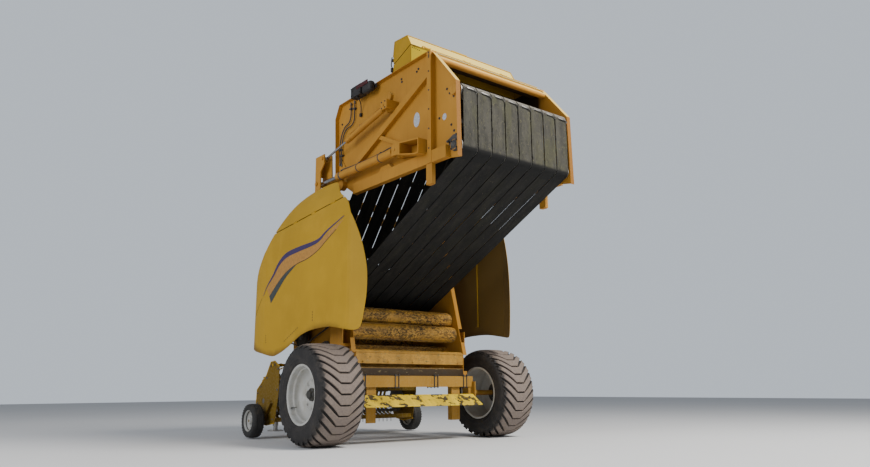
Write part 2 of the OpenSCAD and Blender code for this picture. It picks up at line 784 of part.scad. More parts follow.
module net_lid() color(yellow) {
    w = half + 10;
    difference() {
        union() {
            difference() {
                slab(lid_pts, -w, w);
                slab([[-968, 4090], [-905, 4213], [-685, 4231], [-660, 4067], [-666, 3970],
                    [-690, 3970]], -w + 5, w - 5);
            }
            for (y = knuckles) {
                disc_y(lid_hinge[0], lid_hinge[1], 14, y - 30, y + 30);
                slab([[lid_hinge[0], 4097], [-972, 4101], [-966, 4112], [lid_hinge[0], 4111]],
                    y - 30, y + 30);
            }
        }
        for (y = knuckles)
            disc_y(lid_hinge[0], lid_hinge[1], lid_hinge[2] + 0.05, y - 40, y + 40);
    }
    box([-870, -110, 4218], [-830, 110, 4262]);
}

module tail_lamps() both() {
    color(black) box([-200, wall + 48, gate_top_z - 80], [0, wall + 135, gate_top_z + 38]);
    color(red) box([-190, wall + 56, gate_top_z + 38], [-10, wall + 127, gate_top_z + 50]);
}

// cylinders: pin on the gate a, pin on the frame b, barrel length, barrel and rod radius

module barrel(a, b, l, rb, rr, pin_r) {
    u = unit([b[0] - a[0], 0, b[1] - a[1]]);
    p = [a[0], cyl_y, a[1]];
    difference() {
        union() {
            rod(p + u * 70, p + u * l, rb);
            disc_y(a[0], a[1], pin_r * 2.4, cyl_y - 25, cyl_y + 25);
            bar(p + u * (pin_r * 1.5), p + u * 80, 44, pin_r * 2.4);
        }
        disc_y(a[0], a[1], pin_r + 0.05, cyl_y - 40, cyl_y + 40);
        rod(p + u * 92, p + u * (l - 50), rb - 8);
        rod(p + u * (l - 60), p + u * (l + 5), rr + 0.05);
    }
}

module ram(a, b, inside, rb, rr, pin_r) {
    u = unit([b[0] - a[0], 0, b[1] - a[1]]);
    p = [a[0], cyl_y, a[1]];
    q = [b[0], cyl_y, b[1]];
    rod(p + u * inside, q - u * (pin_r * 1.5), rr);
    rod(p + u * inside, p + u * (inside + 40), rb - 8.1);
    disc_y(b[0], b[1], pin_r * 2.2, cyl_y - 25, cyl_y + 25);
}

module lift_barrel_left() color(yellow) barrel(pin_gate, pin_frame, 1180, 45, 22, 16);
module lift_barrel_right() color(yellow) side(-1) barrel(pin_gate, pin_frame, 1180, 45, 22, 16);
module lift_rod_left() color(steel) ram(pin_gate, pin_frame, 700, 45, 22, 16);
module lift_rod_right() color(steel) side(-1) ram(pin_gate, pin_frame, 700, 45, 22, 16);
module tension_barrel_left() color(yellow) barrel(pin_t_gate, pin_t_frame, 810, 32, 13, 12);
module tension_barrel_right() color(yellow) side(-1)
    barrel(pin_t_gate, pin_t_frame, 810, 32, 13, 12);
module tension_rod_left() color(steel) ram(pin_t_gate, pin_t_frame, 200, 32, 13, 12);
module tension_rod_right() color(steel) side(-1)
    ram(pin_t_gate, pin_t_frame, 200, 32, 13, 12);

translate([ox, 0, 0]) side_wall_left();
translate([ox, 0, 0]) side_wall_right();
translate([ox, 0, 0]) frame_cross_members();
translate([ox, 0, 0]) front_panel();
translate([ox, 0, 0]) axle_beam();
translate([ox, 0, 0]) chamber_rolls();
translate([ox, 0, 0]) front_belt_roller();
translate([ox, 0, 0]) tongue();
translate([ox, 0, 0]) hitch_clevis();
translate([ox, 0, 0]) jack_tube();
translate([ox, 0, 0]) jack_leg();
translate([ox, 0, 0]) gearbox();
translate([ox, 0, 0]) pto_shaft();
translate([ox, 0, 0]) chain_drive();
translate([ox, 0, 0]) side_cap_left();
translate([ox, 0, 0]) side_cap_right();
translate([ox, 0, 0]) side_shield_left();
translate([ox, 0, 0]) side_shield_right();
translate([ox, 0, 0]) pickup_frame();
translate([ox, 0, 0]) stripper_bands();
translate([ox, 0, 0]) pickup_reel();
translate([ox, 0, 0]) wind_guard();
translate([ox, 0, 0]) gauge_wheel_left();
translate([ox, 0, 0]) gauge_wheel_right();
translate([ox, 0, 0]) tyre_left();
translate([ox, 0, 0]) tyre_right();
translate([ox, 0, 0]) rim_left();
translate([ox, 0, 0]) rim_right();
translate([ox, 0, 0]) bale_ramp();
translate([ox, 0, 0]) gate_wall_left();
translate([ox, 0, 0]) gate_wall_right();
translate([ox, 0, 0]) gate_cross_members();
translate([ox, 0, 0]) gate_rollers();
translate([ox, 0, 0]) gate_belts();
translate([ox, 0, 0]) chamber_belts();
translate([ox, 0, 0]) net_box();
translate([ox, 0, 0]) net_lid();
translate([ox, 0, 0]) tail_lamps();
translate([ox, 0, 0]) lift_barrel_left();
translate([ox, 0, 0]) lift_barrel_right();
translate([ox, 0, 0]) lift_rod_left();
translate([ox, 0, 0]) lift_rod_right();
translate([ox, 0, 0]) tension_barrel_left();
translate([ox, 0, 0]) tension_barrel_right();
translate([ox, 0, 0]) tension_rod_left();
translate([ox, 0, 0]) tension_rod_right();
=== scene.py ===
"""Dresses the packed model of a round baler with its tailgate raised: tyres, belts, paint, stripes, fasteners."""

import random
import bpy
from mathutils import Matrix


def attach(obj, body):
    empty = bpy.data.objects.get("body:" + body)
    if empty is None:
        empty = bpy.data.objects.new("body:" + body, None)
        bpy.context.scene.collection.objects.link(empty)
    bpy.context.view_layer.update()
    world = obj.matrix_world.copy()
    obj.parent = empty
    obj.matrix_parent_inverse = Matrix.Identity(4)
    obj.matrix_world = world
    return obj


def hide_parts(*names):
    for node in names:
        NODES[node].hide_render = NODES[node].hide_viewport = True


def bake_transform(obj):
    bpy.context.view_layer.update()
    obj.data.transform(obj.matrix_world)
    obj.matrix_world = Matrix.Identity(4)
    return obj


bl_info = {
    "name": "Round baler",
    "version": (1, 0, 0),
    "blender": (4, 5, 0),
    "location": "3D View > Sidebar > Baler",
    "description": "Builds the visible detail of a round baler round its fixed frame",
    "category": "Object",
}

from math import atan2, cos, pi, radians, sin, sqrt

import bpy
from mathutils import Matrix, Vector

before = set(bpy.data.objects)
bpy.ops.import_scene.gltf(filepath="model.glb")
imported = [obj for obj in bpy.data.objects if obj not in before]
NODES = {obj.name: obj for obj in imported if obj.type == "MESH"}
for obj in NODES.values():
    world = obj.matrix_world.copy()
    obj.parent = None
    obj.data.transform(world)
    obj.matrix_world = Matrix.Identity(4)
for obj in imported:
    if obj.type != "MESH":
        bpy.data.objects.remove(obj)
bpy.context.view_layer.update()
# the part is drawn from its wheel axle; the packed frame has its origin further forward
AXLE_X = -0.8185
SIDES = (("left", 1), ("right", -1))
OUT, UP, FRONT, BACK = (0, 1, 0), (0, 0, 1), (1, 0, 0), (-1, 0, 0)
# finishes by short name, filled by the finishes step
F = {}

# ---------------------------------------------------------------- modelling


def at(x, y, z):
    """A point given from the wheel axle, on the ground"""
    return Vector((x + AXLE_X, y, z))


def row(y, points):
    """Points at one distance y from the middle, given by x and z"""
    return [at(x, y, z) for x, z in points]


def shift(p):
    return Matrix.Translation(p)


def spin(angle, axis="Y"):
    return Matrix.Rotation(angle, 4, axis)


def facing(d, axis, up):
    """The turn that brings an axis on to direction d"""
    return Vector(d).to_track_quat(axis, up).to_matrix().to_4x4()


def put(o, place):
    """Moves a shape's mesh to its place"""
    o.data.transform(place)
    return o


def clear():
    if bpy.context.mode != "OBJECT":
        bpy.ops.object.mode_set(mode="OBJECT")
    bpy.ops.object.select_all(action="DESELECT")


def take(*objs):
    clear()
    for o in objs:
        o.select_set(True)
    bpy.context.view_layer.objects.active = objs[0]


def edit(o, how="VERT"):
    take(o)
    bpy.ops.object.mode_set(mode="EDIT")
    bpy.ops.mesh.select_mode(type=how)
    bpy.ops.mesh.select_all(action="SELECT")


def leave():
    bpy.ops.object.mode_set(mode="OBJECT")
    return bpy.context.object


def settle(o):
    take(o)
    bpy.ops.object.transform_apply(location=True, rotation=True, scale=True)
    return o


def outward(o):
    edit(o)
    bpy.ops.mesh.remove_doubles(threshold=1e-5)
    bpy.ops.mesh.normals_make_consistent(inside=False)
    return leave()


def drawn(points):
    """A chain of edges drawn by extruding one vertex from point to point; it is left in edit mode"""
    clear()
    bpy.ops.mesh.primitive_plane_add(size=0.01, location=points[0])
    o = bpy.context.object
    edit(o)
    bpy.ops.mesh.merge(type="CENTER")
    for a, b in zip(points, points[1:]):
        bpy.ops.mesh.extrude_region_move(TRANSFORM_OT_translate={"value": b - a})
    bpy.ops.mesh.select_all(action="SELECT")
    return o


def plate(points, push, edge=0.0):
    """A flat outline filled and pushed out by a vector, with its edges bevelled"""
    drawn(points)
    bpy.ops.mesh.edge_face_add()
    bpy.ops.mesh.extrude_region_move(TRANSFORM_OT_translate={"value": Vector(push)})
    bpy.ops.mesh.select_all(action="SELECT")
    bpy.ops.mesh.normals_make_consistent(inside=False)
    if edge:
        bpy.ops.mesh.bevel(offset=edge, segments=1)
    return settle(leave())


def block(low, high, edge=0.002, segments=1):
    """A box between two corners with its edges bevelled"""
    clear()
    low, high = Vector(low), Vector(high)
    bpy.ops.mesh.primitive_cube_add(size=1, location=(low + high) / 2, scale=high - low)
    o = settle(bpy.context.object)
    if edge:
        edit(o)
        bpy.ops.mesh.bevel(offset=edge, segments=segments)
        leave()
    return o


def beam(a, b, across, high, edge=0.002):
    """A bar of rectangular section from a to b"""
    d = b - a
    clear()
    bpy.ops.mesh.primitive_cube_add(size=1, scale=(d.length, across, high))
    o = settle(bpy.context.object)
    edit(o)
    bpy.ops.mesh.bevel(offset=edge, segments=1)
    leave()
    return put(o, shift((a + b) / 2) @ facing(d, "X", "Z"))


def rod(a, b, r, sides=16, edge=0.0):
    """A round bar from a to b, with the edges of its ends bevelled"""
    a, b = Vector(a), Vector(b)
    d = b - a
    clear()
    bpy.ops.mesh.primitive_cylinder_add(vertices=sides, radius=r, depth=d.length)
    o = bpy.context.object
    if edge:
        edit(o, "EDGE")
        bpy.ops.mesh.select_all(action="DESELECT")
        leave()
        for e in o.data.edges:
            p, q = (o.data.vertices[i].co for i in e.vertices)
            e.select = abs(p.z - q.z) < 1e-6
        bpy.ops.object.mode_set(mode="EDIT")
        bpy.ops.mesh.bevel(offset=edge, segments=1)
        leave()
    return put(o, shift((a + b) / 2) @ facing(d, "Z", "Y"))


def lathe(profile, centre=(0, 0, 0), steps=64):
    """Pairs of radius and place along Y, turned about the line through centre along Y"""
    centre = Vector(centre)
    o = drawn([centre + Vector((r, along, 0)) for r, along in profile])
    bpy.ops.mesh.spin(steps=steps, angle=2 * pi, center=centre, axis=OUT)
    leave()
    return settle(outward(o))


def tube(points, r, sides=8, smooth=True):
    """A pipe along points, drawn as a curve with round bends and made a mesh"""
    clear()
    bpy.ops.curve.primitive_bezier_curve_add()
    o = bpy.context.object
    line = o.data.splines[0]
    line.bezier_points.add(len(points) - 2)
    for knot, p in zip(line.bezier_points, points):
        knot.co = p
        knot.handle_left_type = knot.handle_right_type = "AUTO" if smooth else "VECTOR"
    o.data.bevel_depth = r
    o.data.bevel_resolution = max(1, sides // 4 - 1)
    o.data.resolution_u = 5
    o.data.use_fill_caps = True
    bpy.ops.object.convert(target="MESH")
    return settle(bpy.context.object)


def spot(p, normal, turn=0.0):
    """The place of a copy: its foot at p, its top along normal"""
    return shift(p) @ facing(normal, "Z", "Y") @ spin(turn, "Z")


def circle_spots(centre, n, start=0.0):
    """n places round an axle along Y"""
    return [shift(centre) @ spin(2 * pi * i / n + start) for i in range(n)]


def copies(o, spots):
    """Copies of o, each with its own mesh, one at each spot; o itself goes"""
    made = []
    for place in spots:
        c = bpy.data.objects.new(o.name, o.data.copy())
        bpy.context.scene.collection.objects.link(c)
        made.append(put(c, place))
    bpy.data.objects.remove(o)
    return made


def joined(parts):
    take(*parts)
    if len(parts) > 1:
        bpy.ops.object.join()
    return bpy.context.object


def mirrored(o):
    """A copy on the other side of the machine, faces outward"""
    c = bpy.data.objects.new(o.name, o.data.copy())
    bpy.context.scene.collection.objects.link(c)
    put(c, Matrix.Scale(-1, 4, OUT))
    c.data.flip_normals()
    return c


def piece(name, parts, body, finish, angle=35, stands_for=None):
    """Joins parts into one piece of the object, which rides on a body"""
    o = settle(joined(list(parts)))
    o.name = o.data.name = name
    if angle:
        bpy.ops.object.shade_smooth_by_angle(angle=radians(angle))
    o.data.materials.clear()
    o.data.materials.append(F[finish])
    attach(o, body)
    if stands_for:
        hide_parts(stands_for)


def pair(name, parts, body, finish, angle=35, stands_for=""):
    """The same piece on both sides, from the parts of the left one; {} stands for the side"""
    left = joined(list(parts))
    for o, (side, _) in zip((left, mirrored(left)), SIDES):
        piece(name.format(side), [o], body.format(side), finish, angle, stands_for.format(side))


def bolts(places, normal, r=0.011):
    """Hexagon bolt heads on their washers"""
    bolt = joined([
        rod((0, 0, 0), (0, 0, 0.003), r * 1.45, 14),
        rod((0, 0, 0.002), (0, 0, 0.003 + r * 0.75), r, 6, 0.0012),
        rod((0, 0, 0.003), (0, 0, 0.003 + r * 1.1), r * 0.5, 8),
    ])
    return copies(bolt, [spot(p, normal, 0.4 * i) for i, p in enumerate(places)])


def bolt_circle(x, y, z, reach, angles, r):
    """Bolts round a centre on a face that looks outward"""
    return bolts([at(x + reach * cos(a), y, z + reach * sin(a)) for a in angles], OUT, r)


# ---------------------------------------------------------------- finishes


class Wire:
    """A socket in a finish's sums; the operators add Math nodes"""

    def __init__(self, tree, socket):
        self.tree, self.socket = tree, socket

    def math(self, kind, *others):
        n = self.tree.nodes.new("ShaderNodeMath")
        n.operation = kind
        for place, v in zip(n.inputs, (self, *others)):
            if isinstance(v, Wire):
                self.tree.links.new(v.socket, place)
            else:
                place.default_value = v
        return Wire(self.tree, n.outputs[0])

    def __add__(self, v):
        return self.math("ADD", v)

    def __sub__(self, v):
        return self.math("SUBTRACT", v)

    def __rsub__(self, v):
        return (self * -1).math("ADD", v)

    def __mul__(self, v):
        return self.math("MULTIPLY", v)

    __radd__, __rmul__ = __add__, __mul__

    def within(self, low, high):
        """0 below low, 1 above high, smooth between"""
        n = self.tree.nodes.new("ShaderNodeMapRange")
        n.interpolation_type = "SMOOTHSTEP"
        n.inputs["From Min"].default_value = low
        n.inputs["From Max"].default_value = high
        self.tree.links.new(self.socket, n.inputs["Value"])
        return Wire(self.tree, n.outputs["Result"])


class Finish:
    """A procedural material, its nodes and the colour laid on so far"""

    def __init__(self, name, metallic=0.0, coat=0.0, gloss=0.5):
        self.mat = bpy.data.materials.new(name)
        self.mat.use_nodes = True
        self.tree = self.mat.node_tree
        self.shader = self.tree.nodes["Principled BSDF"]
        for socket, value in (("Metallic", metallic), ("Coat Weight", coat), ("Specular IOR Level", gloss),
                              ("Coat Roughness", 0.15)):
            self.shader.inputs[socket].default_value = value
        self.object = self.node("ShaderNodeTexCoord").outputs["Object"]
        self.base = None

    def node(self, kind, settings=(), values=()):
        n = self.tree.nodes.new(kind)
        for k, v in dict(settings).items():
            setattr(n, k, v)
        for k, v in dict(values).items():
            v = v.socket if isinstance(v, Wire) else v
            if isinstance(v, bpy.types.NodeSocket):
                self.tree.links.new(v, n.inputs[k])
            else:
                n.inputs[k].default_value = v
        return n

    def wire(self, node, output=0):
        return Wire(self.tree, node.outputs[output])

    def where(self, scale):
        return self.node("ShaderNodeMapping", {}, {"Vector": self.object, "Scale": scale}).outputs[0]

    def along(self, axis):
        return self.wire(self.node("ShaderNodeSeparateXYZ", {}, {"Vector": self.object}), axis)

    def facing(self, axis):
        g = self.node("ShaderNodeNewGeometry")
        return self.wire(self.node("ShaderNodeSeparateXYZ", {}, {"Vector": g.outputs["Normal"]}), axis)

    def away(self, axis):
        """How far a face looks against an axis"""
        return self.facing(axis) * -1

    def noise(self, scale, detail=3.0, stretch=(1, 1, 1), rough=0.55):
        return self.wire(self.node("ShaderNodeTexNoise", {}, {
            "Vector": self.where(stretch), "Scale": scale, "Detail": detail, "Roughness": rough}), "Fac")

    def cells(self, scale, stretch=(1, 1, 1)):
        return self.wire(self.node("ShaderNodeTexVoronoi", {}, {
            "Vector": self.where(stretch), "Scale": scale}), "Distance")

    def mix(self, share, a, b):
        """Starts with colour a where share is 0 and b where it is 1"""
        self.base = self.node("ShaderNodeMix", {"data_type": "RGBA"}, {
            0: share, 6: (*a, 1) if isinstance(a, tuple) else a, 7: (*b, 1)}).outputs[2]

    def lay(self, share, colour):
        """Covers what is there with a colour, as far as share says"""
        self.mix(share, self.base, colour)

    def done(self, rough, height, depth=0.001, strength=0.5):
        self.tree.links.new(self.base, self.shader.inputs["Base Color"])
        self.tree.links.new(rough.socket, self.shader.inputs["Roughness"])
        if height is not None:
            bump = self.node("ShaderNodeBump", {}, {"Height": height, "Distance": depth, "Strength": strength})
            self.tree.links.new(bump.outputs[0], self.shader.inputs["Normal"])
        return self.mat


DUST = (0.36, 0.29, 0.17)
CHAFF = (0.42, 0.34, 0.14)
SOOT = (0.035, 0.028, 0.02)


def times(colour, *by):
    """A colour made darker by one factor, or by one for each channel"""
    return tuple(c * k for c, k in zip(colour, by * 3 if len(by) == 1 else by))


def paint(name, colour, dust, chips, rough, streak=0.3, under=0.0, belt_side_shade=0.0, edge=0.0, inner_grey=0.0, back=0.0,
          painted_highlight=0.0, flange=0.0, underside_shade=0.0):
    """Sprayed paint: slow fading, dust on what faces up, rain streaks, chips; under reddens what faces
    down, soot darkens the belts' side of the tailgate, edge dirties a shield's lower rim, lining greys a
    shield's inner face, back darkens what faces the belts, faded bleaches what faces up and back,
    flange dirties the walls' rear flange, shut blackens the closed-in side that faces down"""
    f = Finish(name, gloss=0.14)
    fade = f.noise(1.1, 3)
    f.mix(fade.within(0.25, 0.75), times(colour, 0.84), colour)
    f.lay(f.noise(4.2, 4).within(0.45, 0.8) * 0.5, tuple(min(1, c * 1.08 + 0.006) for c in colour))
    f.lay(f.noise(3.0, 5, (9, 9, 0.7)).within(0.54, 0.85) * streak, times(colour, 0.55, 0.48, 0.6))
    f.lay(f.noise(2.6, 5, (1, 1, 0.6), 0.65).within(0.55, 0.8) * streak, times(colour, 0.62, 0.46, 0.5))
    up = f.facing(2).within(0.2, 0.95)
    low = 1 - f.along(2).within(0.3, 1.7)
    lie = (up * 0.5 + low * 0.5 + 0.10) * f.noise(42, 5, rough=0.7).within(0.42, 0.72) * dust
    f.lay(lie.math("MINIMUM", 1.0), DUST)
    pits = f.noise(23, 6, rough=0.75).within(0.70, 0.75) * chips
    f.lay(pits, (0.12, 0.06, 0.03))
    f.lay(f.cells(95).within(0.1, 0.02) * f.noise(7, 2).within(0.5, 0.66) * dust, SOOT)
    # painted shade with some rust-red dirt: faces that look down turn darker and redder
    if under:
        f.lay(f.away(2).within(0.25, 0.75) * (f.noise(5, 4).within(0.2, 0.6) * 0.3 + 0.7) * under,
              times(colour, 0.38, 0.25, 0.5))
    # painted shade: near black on the tailgate walls' inner faces forward of the post, behind the belts
    if belt_side_shade:
        inner = f.along(1).math("ABSOLUTE").within(0.7498, 0.7492)
        f.lay(inner * f.along(0).within(-1.40 + AXLE_X, -1.335 + AXLE_X) * belt_side_shade, (0.022, 0.017, 0.012))
    if edge:
        # height of the shield's lower rim, which rises over the wheel; the brown band just above it is painted shade
        # where the rim curves inward
        rim = ((f.along(0) - AXLE_X - 0.15) * (pi / 1.15)).math("COSINE") * 0.125 + 1.075
        shaded_low_rim = (f.along(2) - rim + f.noise(7, 5, rough=0.65) * 0.07).within(0.115, 0.02)
        f.lay(shaded_low_rim * edge, (0.16, 0.085, 0.018))
    # the shield's inner face turns darker and greyer
    if inner_grey:
        inner = (f.facing(1) * f.along(1).math("SIGN") * -1).within(0.3, 0.6)
        f.lay(inner * inner_grey, (0.085, 0.062, 0.036))
    # painted shade: near black on faces that look back towards the belts
    if back:
        f.lay(f.away(0).within(0.4, 0.8) * back, (0.020, 0.016, 0.012))
    # painted highlight: pale paint on faces that look up and back, towards the key light
    if painted_highlight:
        f.lay((f.facing(0) * -0.5 + f.facing(2) * 0.7).within(0.55, 0.78) * painted_highlight, (0.78, 0.62, 0.19))
    # painted shade: a darker strip on the walls' rear-facing flange, which the key light strikes
    if flange:
        strip = f.away(0).within(0.9, 0.97) * f.along(0).within(-1.700 + AXLE_X, -1.720 + AXLE_X)
        f.lay(strip * flange, times(colour, 0.5, 0.45, 0.5))
    # painted shade: near black on faces that look down
    if underside_shade:
        f.lay(f.away(2).within(0.6, 0.95) * underside_shade, (0.022, 0.018, 0.013))
    peel = f.noise(260, 2) * 0.35 + f.noise(9, 4) * 0.65 - pits * 0.5
    return f.done(lie * 0.4 + rough + fade * 0.08, peel, 0.0012, 0.22)


def chaffed(name, colour, amount, rusty, blots=0.0):
    """Paint under stuck chaff and juice, as on what the crop runs over; blots are bare patches, and
    without them the paint is black near the ground"""
    f = Finish(name, gloss=0.35)
    f.mix(f.noise(2.4, 5, (1, 3, 1)).within(0.35, 0.65), times(colour, 0.7), colour)
    f.lay(f.noise(6, 6, (1, 0.6, 1), 0.7).within(0.5, 0.68) * rusty, (0.30, 0.11, 0.03))
    where = f.noise(5, 4, (1, 0.5, 1), 0.6).within(0.30, 0.52) * (f.along(2).within(0.94, 1.06) * 0.8 + 0.2)
    flakes = f.noise(40, 5, (1.2, 0.7, 1.2), 0.8).within(0.46, 0.54) * where
    f.lay(flakes * amount, SOOT)
    if blots:
        f.lay(f.noise(13, 4, (1, 0.7, 1), 0.62).within(0.545, 0.57) * blots, SOOT)
    else:
        # painted shade: near black near the ground, under the machine
        f.lay(f.along(2).within(0.800, 0.775) * 0.93, (0.018, 0.014, 0.010))
    f.lay(f.noise(17, 5, (1, 0.35, 1), 0.7).within(0.56, 0.66) * amount * 0.7, SOOT)
    straw = f.noise(60, 4, (1, 0.25, 1)).within(0.62, 0.7)
    f.lay(straw * amount * 0.5, CHAFF)
    return f.done(flakes * 0.3 + 0.5, flakes * 0.6 + straw, 0.002)


def steel(name, colour, rust, rough, metallic):
    """Bare steel with rolling marks and a bloom of rust"""
    f = Finish(name, metallic=metallic)
    f.mix(f.noise(3, 4).within(0.3, 0.7), times(colour, 0.7), colour)
    bloom = f.noise(11, 6, rough=0.7).within(0.5, 0.75) * rust
    f.lay(bloom, (0.20, 0.085, 0.035))
    lines = f.noise(30, 3, (1, 12, 1))
    return f.done(lines * 0.16 + rough + bloom * 0.4, lines, 0.0006, 0.3)


def black(name, colour, dust, rough):
    """Black paint or moulded plastic, dusty"""
    f = Finish(name)
    f.mix(f.noise(4, 4).within(0.35, 0.7), colour, tuple(c * 1.8 + 0.004 for c in colour))
    lie = (f.facing(2).within(0.1, 0.9) * 0.75 + 0.2) * f.noise(30, 5, rough=0.7).within(0.38, 0.72) * dust
    f.lay(lie, DUST)
    return f.done(lie * 0.35 + rough, f.noise(180, 3), 0.0008, 0.3)


def tread_rubber(name):
    """Tyre rubber: brown dust on what meets the ground, near black in the grooves"""
    f = Finish(name)
    f.mix(f.noise(7, 4).within(0.3, 0.7), (0.016, 0.015, 0.015), (0.028, 0.025, 0.024))
    u, w = f.along(0) - AXLE_X, f.along(2) - TYRE_R
    worn = (u * u + w * w).math("SQRT").within(TYRE_R - 0.034, TYRE_R - 0.010)
    grit = f.noise(55, 5, rough=0.7).within(0.3, 0.75)
    f.lay(worn * (grit * 0.35 + 0.62), (0.235, 0.185, 0.155))
    f.lay(f.noise(12, 5, rough=0.65).within(0.48, 0.7) * (worn * 0.25 + 0.10), (0.20, 0.155, 0.105))
    return f.done(grit * 0.15 + 0.72, grit, 0.0012, 0.4)


def wheel_paint(name):
    """Off-white wheel paint with dust gathered towards its well"""
    f = Finish(name, coat=0.1)
    f.mix(f.noise(5, 4).within(0.35, 0.7), (0.43, 0.43, 0.41), (0.54, 0.54, 0.51))
    film = f.noise(14, 5, rough=0.65).within(0.4, 0.72)
    f.lay(film * 0.45, (0.36, 0.32, 0.24))
    f.lay(f.noise(38, 5, rough=0.7).within(0.69, 0.74) * 0.7, (0.14, 0.09, 0.06))
    return f.done(film * 0.25 + 0.42, f.noise(150, 2), 0.0006, 0.25)


def belting(name, low, high, green, bits_share, pits_share, dust_light_and_shade):
    """Rubber belting: a rough pressed face, grey-green with hay juice where it is seen, black below"""
    f = Finish(name, gloss=0.2)
    f.mix(f.noise(4, 5, (1, 4, 1)).within(0.3, 0.7), low, high)
    f.lay(f.noise(5, 5, (0.6, 1.6, 0.6), 0.65).within(0.46, 0.66) * green, (0.066, 0.066, 0.030))
    bits = f.noise(34, 5, (0.8, 1.3, 0.8), 0.8).within(0.55, 0.64)
    f.lay(bits * bits_share, (0.135, 0.125, 0.070))
    f.lay(f.noise(27, 5, (0.8, 1.3, 0.8), 0.8).within(0.55, 0.65) * pits_share, (0.013, 0.013, 0.012))
    if dust_light_and_shade:
        # dust with painted light: faces that look up turn paler
        f.lay(f.facing(2).within(0.08, 0.55) * (f.noise(50, 4, rough=0.7).within(0.3, 0.6) * 0.4 + 0.5),
              (0.19, 0.175, 0.150))
        # painted shade: near black on faces that look down
        f.lay(f.away(2).within(0.02, 0.35) * 0.96, (0.013, 0.013, 0.013))
    f.lay(f.cells(17, (1, 1.6, 1)).within(0.075, 0.045) * f.noise(3, 2).within(0.50, 0.56) * 0.7,
          (0.30, 0.26, 0.14))
    grain = f.cells(150)
    return f.done(grain * 0.2 + 0.72, grain * 0.7 + bits * 0.5, 0.0015, 0.6)


def plain(name, colour, rough=0.5, spread=0.25, scale=30):
    """Small trim in one colour, with grain and handling marks"""
    f = Finish(name)
    grain = f.noise(scale, 4)
    f.mix(grain.within(0.3, 0.7), times(colour, 1 - spread), colour)
    f.lay(f.noise(50, 5, rough=0.7).within(0.55, 0.75) * 0.3, DUST)
    return f.done(grain * 0.12 + rough, grain, 0.0005, 0.2)


def lens(name, colour):
    """A lamp's ribbed lens"""
    f = Finish(name, coat=0.2, gloss=0.3)
    wave = f.wire(f.node("ShaderNodeTexWave", {"bands_direction": "X"}, {"Vector": f.object, "Scale": 45.0}), "Fac")
    f.mix(wave, times(colour, 0.6), colour)
    return f.done(wave * 0.08 + 0.14, wave, 0.002)


COATS = {
    "frame": "side_wall_left side_wall_right tongue",
    "roll": "frame_cross_members chamber_rolls",
    "front": "front_panel",
    "axle": "axle_beam",
    "steel": "front_belt_roller jack_leg gate_rollers",
    "cast": "hitch_clevis jack_tube gearbox",
    "guard": "pto_shaft",
    "chain": "chain_drive",
    "yellow": "side_cap_left side_cap_right stripper_bands wind_guard",
    "shield": "side_shield_left side_shield_right",
    "grimy": "pickup_frame",
    "steel_dark": "pickup_reel",
    "ramp": "bale_ramp",
    "gate": "gate_wall_left gate_wall_right gate_cross_members lift_barrel_left lift_barrel_right"
            " tension_barrel_left tension_barrel_right",
    "belt": "gate_belts",
    "bright": "net_box net_lid",
    "lamp": "tail_lamps",
    "chrome": "lift_rod_left lift_rod_right tension_rod_left tension_rod_right",
}


